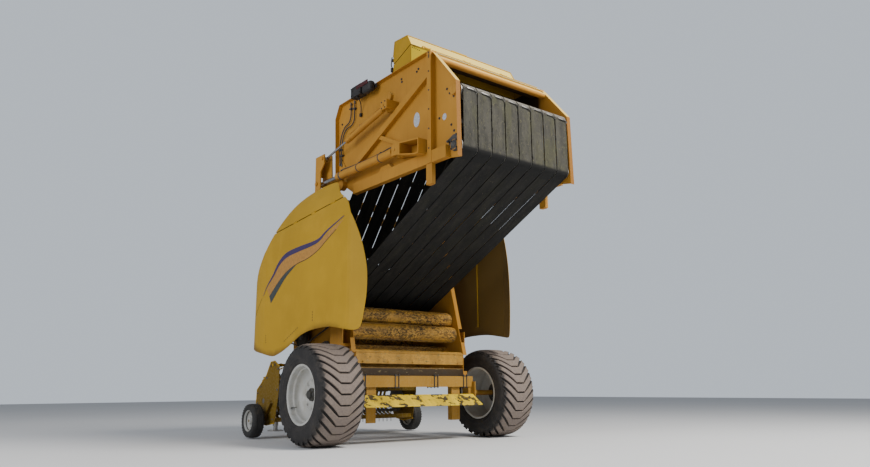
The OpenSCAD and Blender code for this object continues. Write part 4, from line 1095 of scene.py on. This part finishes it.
def lamps(scene):
    """Adds the lamps' lenses, hoods, cables' clips and brackets"""
    for side, s in SIDES:
        y0, y1 = sorted(s * y for y in LAMP_Y)
        parts = [block(at(-0.206, y0 - 0.004, 3.882), at(0.006, y1 + 0.006, 3.890), 0.003)]
        parts += bolts([at(x, s * LAMP_Y[1], z) for x in (-0.18, -0.02) for z in (3.80, 3.86)], (0, s, 0), 0.007)
        lead = [at(x, s * y, z) for x, y, z in ((-0.10, 0.86, 3.776), (-0.10, 0.83, 3.74), (-0.06, 0.785, 3.70),
                                                (-0.03, 0.765, 3.60))]
        parts += [
            tube(lead, 0.006),
            block(at(-0.118, s * 0.86 - 0.014, 3.760), at(-0.082, s * 0.86 + 0.014, 3.778), 0.003),
            block(at(-0.045, s * 0.765 - 0.014, 3.58), at(-0.015, s * 0.765 + 0.014, 3.62), 0.003),
            block(at(-0.385, y0 + 0.002, 3.762), at(-0.2075, y1 - 0.004, 3.880), 0.030, 3),
            block(at(-0.40, s * 0.800 - 0.006, 3.80), at(-0.20, s * 0.800 + 0.006, 3.845), 0.003),
        ]
        piece(f"lamp_body_{side}", parts, "tailgate", "lamp")
        parts = [block(at(x, y0 + 0.014, 3.903), at(x + 0.078, y1 - 0.014, 3.909), 0.003) for x in (-0.184, -0.094)]
        parts.append(block(at(-0.345, s * 0.884 - 0.007, 3.846), at(-0.115, s * 0.884 + 0.007, 3.894), 0.005))
        piece(f"lamp_lens_{side}", parts, "tailgate", "red_lens")


# kind, finish, pin on the tailgate, pin on the frame, the barrel's length, the barrel's and the rod's radius
CYLINDERS = (("lift", "black_trim", (-0.893, 2.919), (0.700, 2.930), 1.180, 0.045, 0.022),
             ("tension", "gate", (-0.689, 3.465), (0.575, 3.215), 0.810, 0.032, 0.013))
CYLINDER_Y = 0.860


def cylinders(scene):
    """Adds glands, ports and pipes to the cylinders"""
    for kind, finish, a, b, length, barrel, bar in CYLINDERS:
        p, q = row(CYLINDER_Y, (a, b))
        u = (q - p).normalized()
        up = Vector((-u.z, 0, u.x))

        def ring(profile, d):
            """A turned ring at distance d from the pin"""
            return put(lathe(profile, steps=32), shift(p + u * d) @ facing(u, "Y", "Z"))

        def on(d, rise):
            """A point on the barrel at distance d, above its skin by rise"""
            return p + u * d + up * (barrel + rise)

        collar, strap = (barrel - 0.004, barrel + 0.002), (barrel - 0.002, barrel + 0.002)
        line = ((0.105, 0.018), (0.125, 0.021), (0.30, 0.010), (length - 0.30, 0.010), (length - 0.115, 0.020),
                (length - 0.078, 0.018))
        parts = [ring(((collar[0], 0.0), (collar[1], 0.001), (collar[1], 0.026), (collar[0], 0.028)), length - 0.090)]
        parts += [rod(on(d, -0.004), on(d, 0.022), 0.012, 6, 0.001) for d in (0.105, length - 0.075)]
        parts.append(tube([on(d, rise) for d, rise in line], 0.006))
        for d in (length * 0.26, length * 0.62):
            parts.append(ring(((strap[0], -0.008), (strap[1], -0.008), (strap[1], 0.008), (strap[0], 0.008)), d))
            parts.append(put(block((-0.009, -0.010, -0.002), (0.009, 0.010, 0.020)), shift(on(d, 0))))
        pair(kind + "_barrel_fittings_{}", parts, kind + " barrel {}", finish)
        wiper = ring(((bar + 0.0005, 0.0), (bar + 0.006, 0.001), (bar + 0.006, 0.007), (bar + 0.002, 0.009),
                      (bar + 0.0005, 0.009)), length - 0.0015)
        pair(kind + "_wiper_{}", [wiper], kind + " barrel {}", "black_trim")


# ---------------------------------------------------------------- frame and drive

# rolls of the chamber: x, z, radius
ROLLS = ((0.290, 1.377, 0.088), (0.215, 1.195, 0.095), (0.560, 0.985, 0.105), (0.985, 0.880, 0.105),
         (1.085, 1.165, 0.084))
WALL_BOLTS = ((0.10, 0.80), (0.10, 0.90), (0.16, 1.27), (0.22, 1.50), (0.28, 1.72), (0.34, 1.94), (0.40, 2.16),
              (0.46, 2.38), (0.52, 2.60), (0.65, 2.60), (0.85, 2.72), (1.05, 2.72), (1.35, 2.35), (1.41, 1.95),
              (1.40, 1.60), (1.35, 1.05), (1.20, 0.82))
ROLL_BEARING = ((0.0, 0.766), (0.012, 0.767), (0.022, 0.764), (0.030, 0.764), (0.034, 0.758), (0.052, 0.757),
                (0.056, 0.7525), (0.056, 0.751))


def chamber(scene):
    """Adds roll ends, folds, bolts and stalks"""
    rng = random.Random(11)
    # rolled upper edge of the rear panels and small screws along their feet
    parts = [across(0.022, 0.952, 0.745, 0.010, 0.010, 0.003)]
    parts += bolts([at(0.018, y, 0.852) for y in (-0.66, -0.33, 0.0, 0.33, 0.66)], BACK, 0.006)
    piece("rear_panel_folds", parts, "frame", "roll")
    # chopped stalks on the panels and between the rolls
    spots = []
    for _ in range(scene.baler_sizes.chaff):
        y = rng.uniform(-0.70, 0.70)
        pick = rng.random()
        if pick < 0.4:
            p = at(rng.uniform(0.030, 0.110), y, 0.7895)
        elif pick < 0.7:
            p = at(0.0225, y, rng.uniform(0.85, 0.95))
        else:
            p = at(rng.uniform(0.040, 0.058), y, 0.9675 + rng.uniform(0, 0.012))
        spots.append(shift(p) @ spin(rng.uniform(0, pi), "Z") @ spin(rng.uniform(-0.5, 0.5))
                     @ Matrix.Scale(rng.uniform(0.6, 1.7), 4))
    bit = block((-0.010, -0.0018, 0), (0.010, 0.0018, 0.0022), 0)
    piece("stalk_bits", copies(bit, spots), "frame", "straw", 0)
    # end plates of the rolls
    parts = [lathe(((0.031, s * 0.7355), (r - 0.018, s * 0.7355), (r - 0.012, s * 0.7375), (r - 0.012, s * 0.730),
                    (0.031, s * 0.728), (0.031, s * 0.7355)), at(x, 0, z), 28)
             for x, z, r in ROLLS for s in (-1, 1)]
    piece("roll_ends", parts, "frame", "roll")
    pair("wall_bolts_{}", bolts(row(WALL, WALL_BOLTS), OUT, 0.010), "frame", "steel_dark")
    # bearing flanges on the right wall, but for the roll that the closed tailgate passes
    parts = []
    for x, z, _ in ROLLS[:1] + ROLLS[2:]:
        parts.append(lathe(ROLL_BEARING, at(x, 0, z), 28))
        parts += bolt_circle(x, 0.756, z, 0.044, FOUR_BOLTS, 0.006)
    left = settle(joined(parts))
    piece("roll_bearings_right", [mirrored(left)], "frame", "steel_dark")
    bpy.data.objects.remove(left)


AXLE_FLANGE = ((0.046, 0.820), (0.072, 0.821), (0.074, 0.826), (0.074, 0.836), (0.050, 0.842), (0.046, 0.860),
               (0.046, 0.820))
SIXTHS = [pi / 3 * i for i in range(6)]
CLAMPS_Y, CLAMP_ROD = (-0.70, -0.27, 0.27, 0.70), 0.024


def axle(scene):
    """Adds clamps, flanges and the ramp's folds"""
    # clamp plates round the axle and their threaded rods
    parts = []
    for y in CLAMPS_Y:
        parts += [block(at(-0.066, y - 0.035, low), at(0.066, y + 0.035, high))
                  for low, high in ((0.574, 0.582), (0.698, 0.708))]
        parts += [rod(at(x, y + q, 0.566), at(x, y + q, 0.716), 0.006, 8)
                  for x in (-0.064, 0.064) for q in (-CLAMP_ROD, CLAMP_ROD)]
    parts += bolts([at(x, y + q, 0.708) for x in (-0.064, 0.064) for y in CLAMPS_Y for q in (-CLAMP_ROD, CLAMP_ROD)],
                   UP, 0.010)
    piece("axle_clamps", parts, "frame", "black_trim")
    # hub carrier rings
    parts = [lathe(AXLE_FLANGE, at(0, 0, TYRE_R), 36), *bolt_circle(0, 0.836, TYRE_R, 0.061, SIXTHS, 0.007)]
    pair("axle_flange_{}", parts, "frame", "gate")
    # ramp: rolled lips and ribs
    parts = [across(-0.2515, 0.383, 0.795, 0.010, 0.016, 0.003), across(-0.0905, 0.4925, 0.795, 0.010, 0.012, 0.003)]
    parts += [beam(at(-0.100, y, 0.489), at(-0.244, y, 0.392), 0.040, 0.006) for y in (-0.52, 0.0, 0.52)]
    piece("ramp_folds", parts, "ramp", "ramp")
    parts = bolts([at(-0.135, y, 0.4655) for y in (-0.70, -0.34, 0.34, 0.70)], (-0.557, 0, 0.83), 0.009)
    piece("ramp_bolts", parts, "ramp", "steel_dark")


# x, z, radius of the sprockets; first and second sprocket and lane of the chains
SPROCKETS = ((1.405, 1.172, 0.062), (1.085, 1.165, 0.120), (0.985, 0.880, 0.100), (0.560, 0.985, 0.100),
             (0.290, 1.377, 0.080))
CHAINS = ((0, 1, 0), (1, 2, 1), (2, 3, 0), (1, 4, 2))
CHAIN_Y, LANE, LINK, TOOTH = 0.805, 0.016, 0.019, 0.0031
SPROCKET_HUB = ((0.0, 0.862), (0.010, 0.862), (0.012, 0.858), (0.024, 0.857), (0.026, 0.852), (0.036, 0.850),
                (0.036, 0.842), (0.030, 0.840))


def along(points, t):
    """The point at share t of a chain of points"""
    lengths = [0.0]
    for a, b in zip(points, points[1:]):
        lengths.append(lengths[-1] + sqrt((b[0] - a[0]) ** 2 + (b[1] - a[1]) ** 2))
    goal = t * lengths[-1]
    for i, (a, b) in enumerate(zip(points, points[1:])):
        if goal <= lengths[i + 1] + 1e-9:
            return between(a, b, (goal - lengths[i]) / max(1e-9, lengths[i + 1] - lengths[i]))
    return points[-1]


def chains():
    """Chain links and sprocket teeth, copied round the paths of the four chains"""
    spots, teeth = [], []
    for a, b, lane in CHAINS:
        y = CHAIN_Y + LANE * lane
        c, d = SPROCKETS[a], SPROCKETS[b]
        there, back = leaving(c, d, 0.0), leaving(d, c, 0.0)
        line = [*there[:2], *round_roll(d, 0.0, there[2], back[2], 14)]
        line += [*back[:2], *round_roll(c, 0.0, back[2], there[2], 14), line[0]]
        n = int(sum((q - p).length for p, q in zip(line, line[1:])) / LINK)
        for i in range(n):
            p, q = along(line, i / n), along(line, min(1, (i + 0.5) / n))
            spots.append(shift(at(p[0], y, p[1])) @ spin(-atan2(q[1] - p[1], q[0] - p[0])))
        for x, z, r in (c, d):
            teeth += [m @ shift((r - 0.001, 0, 0)) for m in circle_spots(at(x, y, z), int(r / TOOTH))]
    link = joined([
        block((-0.0105, -0.0075, -0.006), (0.0105, -0.0050, 0.006), 0.0018),
        block((-0.0105, 0.0050, -0.006), (0.0105, 0.0075, 0.006), 0.0018),
        rod((0.007, -0.0062, 0), (0.007, 0.0062, 0), 0.0045, 8),
    ])
    piece("chain_links", copies(link, spots), "frame", "chain", 30)
    tooth = block((-0.004, -0.0028, -0.0045), (0.0055, 0.0028, 0.0045), 0.0018)
    piece("sprocket_teeth", copies(tooth, teeth), "frame", "chain", 0)


def drive(scene):
    """Adds chains, sprocket teeth, gearbox and driveline detail"""
    chains()
    parts = []
    for x, z, _ in SPROCKETS:
        parts.append(lathe(SPROCKET_HUB, at(x, 0, z), 28))
        parts += bolt_circle(x, 0.850, z, 0.028, (0.3, 2.4, 4.5), 0.005)
    piece("sprocket_hubs", parts, "frame", "steel_dark")
    # gearbox: cover rims, fins, plugs and bolts
    parts = [block(at(1.372, y, 0.980), at(1.562, y + 0.010, 1.205), 0.003) for y in (-0.156, 0.146)]
    parts.append(block(at(1.376, -0.130, 1.210), at(1.558, 0.130, 1.222), 0.004))
    for k in range(7):
        for fin in (((1.566, 0.985), (1.584, 1.000), (1.584, 1.040), (1.566, 1.050)),
                    ((1.566, 1.140), (1.584, 1.150), (1.584, 1.195), (1.566, 1.205))):
            parts.append(plate(row(-0.120 + 0.040 * k, fin), (0, 0.008, 0), 0.001))
    parts.append(rod(at(1.565, 0, 1.0848), at(1.592, 0, 1.0835), 0.085, 36, 0.004))
    cover = [pi / 4 * i + 0.39 for i in range(8)]
    parts += bolts([at(1.590, 0.070 * cos(a), 1.084 + 0.070 * sin(a)) for a in cover], FRONT, 0.008)
    for s in (1, -1):
        corners = [(x, z) for x in (1.386, 1.467, 1.548) for z in (0.994, 1.191)]
        parts += bolts(row(s * 0.156, corners), (0, s, 0), 0.008)
    parts.append(rod(at(1.42, 0.06, 1.220), at(1.42, 0.06, 1.252), 0.016, 6, 0.002))
    piece("gearbox_castings", parts, "frame", "cast")
    # driveline guard: rings on the cones, bearing collars
    a, b = at(1.640, 0, 1.080), at(3.230, 0, 0.720)
    u = (b - a).normalized()

    def ring(low, high, wide, place, steps):
        profile = ((low, 0.0), (high, 0.002), (high, wide - 0.002), (low, wide))
        return put(lathe(profile, steps=steps), shift(place) @ facing(u, "Y", "Z"))

    parts = []
    for d in (0.045, 0.070, 0.095, 0.120, 0.145, 0.170):
        r = 0.0742 + 0.0012 * sin(d * 60)
        parts.append(ring(r - 0.004, r + 0.003, 0.010, a + u * d, 36))
        parts.append(ring(r - 0.006, r + 0.001, 0.010, b - u * (d + 0.035), 36))
    parts += [ring(0.034, 0.045, 0.022, a + u * d, 32) for d in (0.205, 0.770, 0.802, 1.405)]
    piece("driveline_rings", parts, "frame", "guard")


# the jack: x, y; the pipes on the drawbar: their points and their clips
JACK = (2.930, 0.230)
DRAWBAR_PIPE = ((1.50, 0.452, 1.146), (1.80, 0.408, 1.146), (2.04, 0.36, 1.146), (2.30, 0.29, 1.03),
                (2.70, 0.18, 0.800), (2.98, 0.105, 0.645), (3.04, 0.08, 0.640), (3.10, 0.07, 0.700))
PIPE_CLIPS = ((1.62, 0.434, 1.142), (1.90, 0.390, 1.142), (2.36, 0.273, 0.985), (2.74, 0.168, 0.770))


def drawbar(scene):
    """Adds the drawbar's fasteners, pipes and the jack's ribs"""
    parts = bolts([at(x, s * 0.08, 0.5605) for s in (-1, 1) for x in (3.02, 3.09)], UP, 0.010)
    parts += bolts([at(3.110, y, z) for y in (-0.085, 0.085) for z in (0.455, 0.535)], FRONT, 0.011)
    parts += bolts([at(3.1805, y, 0.430) for y in (-0.03, 0.03)], FRONT, 0.010)
    parts += bolts([at(x, s * 0.36, 1.131) for s in (-1, 1) for x in (2.035, 2.085)], UP, 0.009)
    parts += bolts([at(1.40 + 0.08 * i, s * 0.43, 1.1395) for i in range(3) for s in (-1, 1)], UP, 0.010)
    # collar of the jack, pin and grip
    upright = spin(pi / 2, "X")
    collar = lathe(((0.0375, 0), (0.044, 0.001), (0.044, 0.020), (0.0375, 0.021)), steps=28)
    grip = lathe(((0.0, 0), (0.013, 0.001), (0.015, 0.010), (0.013, 0.070), (0.010, 0.080), (0.0, 0.082)), steps=20)
    parts += [put(collar, shift(at(*JACK, 0.322)) @ upright),
              rod(at(2.875, 0.230, 0.400), at(2.985, 0.230, 0.400), 0.008, 12, 0.001),
              put(grip, shift(at(2.930, 0.338, 0.812)) @ upright)]
    piece("drawbar_fasteners", parts, "frame", "black_trim")
    # ribs of the jack's foot
    parts = []
    for i in range(4):
        d = Vector((cos(pi / 2 * i + pi / 4), sin(pi / 2 * i + pi / 4), 0))
        parts.append(beam(at(*JACK, 0.017) + d * 0.052, at(*JACK, 0.013) + d * 0.092, 0.008, 0.014))
    piece("jack_foot_ribs", parts, "jack leg", "steel")
    # two rigid pipes clipped to the left drawbar beam, with couplings at their ends
    parts = [tube([at(x, y, z + lift) for x, y, z in DRAWBAR_PIPE], 0.007) for lift in (0.010, 0.032)]
    parts += [block(at(x - 0.018, y - 0.030, z - 0.004), at(x + 0.018, y + 0.022, z + 0.050), 0.004)
              for x, y, z in PIPE_CLIPS]
    parts += [rod(at(3.095, 0.071, z - 0.012), at(3.125, 0.066, z + 0.020), 0.014, 12, 0.002) for z in (0.716, 0.740)]
    piece("drawbar_pipes", parts, "frame", "black_trim")


TINE_BARS, TINES, TINE_PITCH, COIL_TURNS, COIL_STEPS, COIL_R = 5, 28, 0.064, 3, 7, 0.0215
PICKUP_HALF = 0.995
PLATE_BOLTS = ((1.33, 0.56), (1.33, 0.80), (1.42, 0.85), (1.52, 0.84), (1.62, 0.70), (1.78, 0.60), (1.86, 0.52),
               (1.86, 0.40), (1.76, 0.22), (1.62, 0.19), (1.42, 0.22))
PLATE_RIM = ((1.300, 0.830), (1.430, 0.895), (1.530, 0.885), (1.640, 0.730), (1.890, 0.560), (1.900, 0.380),
             (1.780, 0.180), (1.600, 0.150), (1.380, 0.180))


def pickup(scene):
    """Adds tine coils, rims and bolts to the pickup"""
    steps = COIL_TURNS * COIL_STEPS
    coil = tube([Vector((COIL_R * cos(2 * pi * i / COIL_STEPS), -0.0115 + 0.023 * i / steps,
                         COIL_R * sin(2 * pi * i / COIL_STEPS))) for i in range(steps + 1)], 0.0028, 4)
    spots = []
    for turn in circle_spots(at(1.700, 0, 0.430), TINE_BARS, radians(20)):
        spots += [turn @ shift((0.150, (i - (TINES - 1) / 2) * TINE_PITCH, 0)) for i in range(TINES)]
    piece("tine_coils", copies(coil, spots), "reel", "steel_dark", 60)
    # heads on the bands' feet and on the side plates
    parts = bolts([at(1.3645, -0.896 + TINE_PITCH * i, 0.615) for i in range(29)], BACK, 0.006)
    left = joined(bolts(row(PICKUP_HALF + 0.006, PLATE_BOLTS), OUT, 0.009))
    piece("pickup_bolts", [*parts, left, mirrored(left)], "pickup", "steel_dark")
    # rolled rims of the side plates
    rim = row(PICKUP_HALF + 0.004, PLATE_RIM)
    left = joined([rod(a, b, 0.007, 8) for a, b in zip(rim, rim[1:])])
    piece("pickup_plate_rims", [left, mirrored(left)], "pickup", "yellow", 50)
    # clamps of the wind guard's rods
    middles = [i * (PICKUP_HALF - 0.100) / 8 for i in range(-8, 9)]
    parts = [rod(at(1.480, y - 0.014, 0.850), at(1.480, y + 0.014, 0.850), 0.021, 16, 0.002) for y in middles]
    piece("wind_guard_clamps", parts, "wind guard", "yellow")


# ---------------------------------------------------------------- stage

# name, place, height it is aimed at, size, power, tint
LIGHTS = (("key", (-8.0, -2.0, 9.0), 1.8, 3.5, 1500, (1.0, 0.96, 0.90)),
          ("fill", (-1.0, 9.0, 4.5), 1.8, 6.0, 370, (0.98, 0.98, 1.0)),
          ("rear", (-8.0, -6.0, 5.0), 2.0, 5.0, 200, (1.0, 0.98, 0.95)))
SKY_LIT, SKY_LIT_POWER, SKY_SEEN = (0.80, 0.86, 0.95, 1), 0.36, (0.60, 0.66, 0.73, 1)
# the photo's camera: heading, pitch and roll in degrees, place, lens and sensor width in mm
CAMERA_TURN, CAMERA_PLACE, LENS, SENSOR = (38.196, 12.323, -0.392), (-6.498, 4.796, 0.563), 29.341, 36


def stage(scene):
    """Sets a pale floor, soft light and the camera of the photo"""
    clear()
    bpy.ops.mesh.primitive_plane_add(size=60, location=(0, 0, 0))
    floor = bpy.context.object
    floor.name = "studio_floor"
    f = Finish("studio_floor")
    tone = f.noise(0.35, 3)
    f.mix(tone, (0.66, 0.67, 0.68), (0.72, 0.73, 0.74))
    floor.data.materials.append(f.done(tone * 0.1 + 0.75, None))
    for name, place, height, size, power, tint in LIGHTS:
        clear()
        bpy.ops.object.light_add(type="AREA", location=place)
        light = bpy.context.object
        light.name = name + "_light"
        light.data.shape = "DISK"
        light.data.size, light.data.energy, light.data.color = size, power, tint
        light.rotation_euler = (Vector((0, 0, height)) - Vector(place)).to_track_quat("-Z", "Y").to_euler()
    world = bpy.context.scene.world or bpy.data.worlds.new("studio")
    bpy.context.scene.world = world
    world.use_nodes = True
    tree = world.node_tree
    tree.nodes.clear()
    out, ray, mix = (tree.nodes.new("ShaderNode" + kind) for kind in ("OutputWorld", "LightPath", "MixShader"))
    tree.links.new(ray.outputs["Is Camera Ray"], mix.inputs[0])
    for i, (colour, power) in enumerate(((SKY_LIT, SKY_LIT_POWER), (SKY_SEEN, 1.0))):
        sky = tree.nodes.new("ShaderNodeBackground")
        sky.inputs["Color"].default_value, sky.inputs["Strength"].default_value = colour, power
        tree.links.new(sky.outputs[0], mix.inputs[i + 1])
    tree.links.new(mix.outputs[0], out.inputs[0])
    yaw, pitch, roll = map(radians, CAMERA_TURN)
    fwd = Vector((cos(pitch) * cos(yaw), -cos(pitch) * sin(yaw), sin(pitch)))
    level = Vector((-sin(yaw), -cos(yaw), 0))
    raised = level.cross(fwd)
    clear()
    bpy.ops.object.camera_add(location=(0, 0, 0))
    cam = bpy.context.object
    m = Matrix((level * cos(roll) + raised * sin(roll), raised * cos(roll) - level * sin(roll), -fwd))
    cam.matrix_world = shift(at(*CAMERA_PLACE)) @ m.transposed().to_4x4()
    cam.data.sensor_width, cam.data.lens = SENSOR, LENS
    bpy.context.scene.camera = cam


# ---------------------------------------------------------------- the add-on


def width(label, text, default, low, high):
    return bpy.props.FloatProperty(name=label, description=text, default=default, min=low, max=high,
                                   unit="LENGTH", subtype="DISTANCE")


def number(label, text, default, low, high):
    return bpy.props.IntProperty(name=label, description=text, default=default, min=low, max=high)


def colour_of(label, text, default):
    return bpy.props.FloatVectorProperty(name=label, description=text, default=default, size=3,
                                         subtype="COLOR", min=0, max=1)


class BalerSizes(bpy.types.PropertyGroup):
    lugs: number("Tyre lugs", "Lugs round one main tyre", 30, 20, 40)
    bar_width: width("Lug bar", "Width of a lug at the middle of the tread", 0.088, 0.05, 0.095)
    arm_width: width("Lug arm", "Width of a lug's arms, round the tyre", 0.070, 0.04, 0.08)
    threads: number("Threads", "Frayed threads on each belt", 10, 0, 80)
    chaff: number("Stalk bits", "Chopped stalks on the rear panels", 200, 0, 2000)


class BalerColours(bpy.types.PropertyGroup):
    shield: colour_of("Shield yellow", "Paint of the side shields", (0.530, 0.310, 0.018))
    gate: colour_of("Frame ochre", "Paint of the frame and the tailgate", (0.520, 0.250, 0.036))


def operator(work):
    """An operator that runs one builder and is named after it"""

    def execute(self, context):
        work(context.scene)
        return {"FINISHED"}

    key = work.__name__
    return type("BALER_OT_" + key, (bpy.types.Operator,), {
        "__doc__": work.__doc__, "bl_idname": "baler." + key, "bl_label": key.replace("_", " ").capitalize(),
        "bl_options": {"REGISTER", "UNDO"}, "execute": execute})


STEPS = [operator(work) for work in (
    stage, finishes, tyres, wheels, gauge_wheels, belts, shields, tailgate, net_box, lamps, cylinders,
    chamber, axle, drive, drawbar, pickup)]


class BALER_PT_panel(bpy.types.Panel):
    """Lists the builders of the round baler"""

    bl_idname = "BALER_PT_panel"
    bl_label = "Round baler"
    bl_space_type = "VIEW_3D"
    bl_region_type = "UI"
    bl_category = "Baler"

    def draw(self, context):
        for group in (context.scene.baler_sizes, context.scene.baler_colours):
            for name in group.__annotations__:
                self.layout.prop(group, name)
        for step in STEPS:
            self.layout.operator(step.bl_idname)


CLASSES = [BalerSizes, BalerColours, *STEPS, BALER_PT_panel]


def register():
    for c in CLASSES:
        bpy.utils.register_class(c)
    bpy.types.Scene.baler_sizes = bpy.props.PointerProperty(type=BalerSizes)
    bpy.types.Scene.baler_colours = bpy.props.PointerProperty(type=BalerColours)


def unregister():
    del bpy.types.Scene.baler_colours
    del bpy.types.Scene.baler_sizes
    for c in reversed(CLASSES):
        bpy.utils.unregister_class(c)


def main():
    register()
    for step in STEPS:
        space, name = step.bl_idname.split(".")
        if getattr(getattr(bpy.ops, space), name)() != {"FINISHED"}:
            raise RuntimeError(step.bl_label)
    clear()


if __name__ == "__main__":
    main()
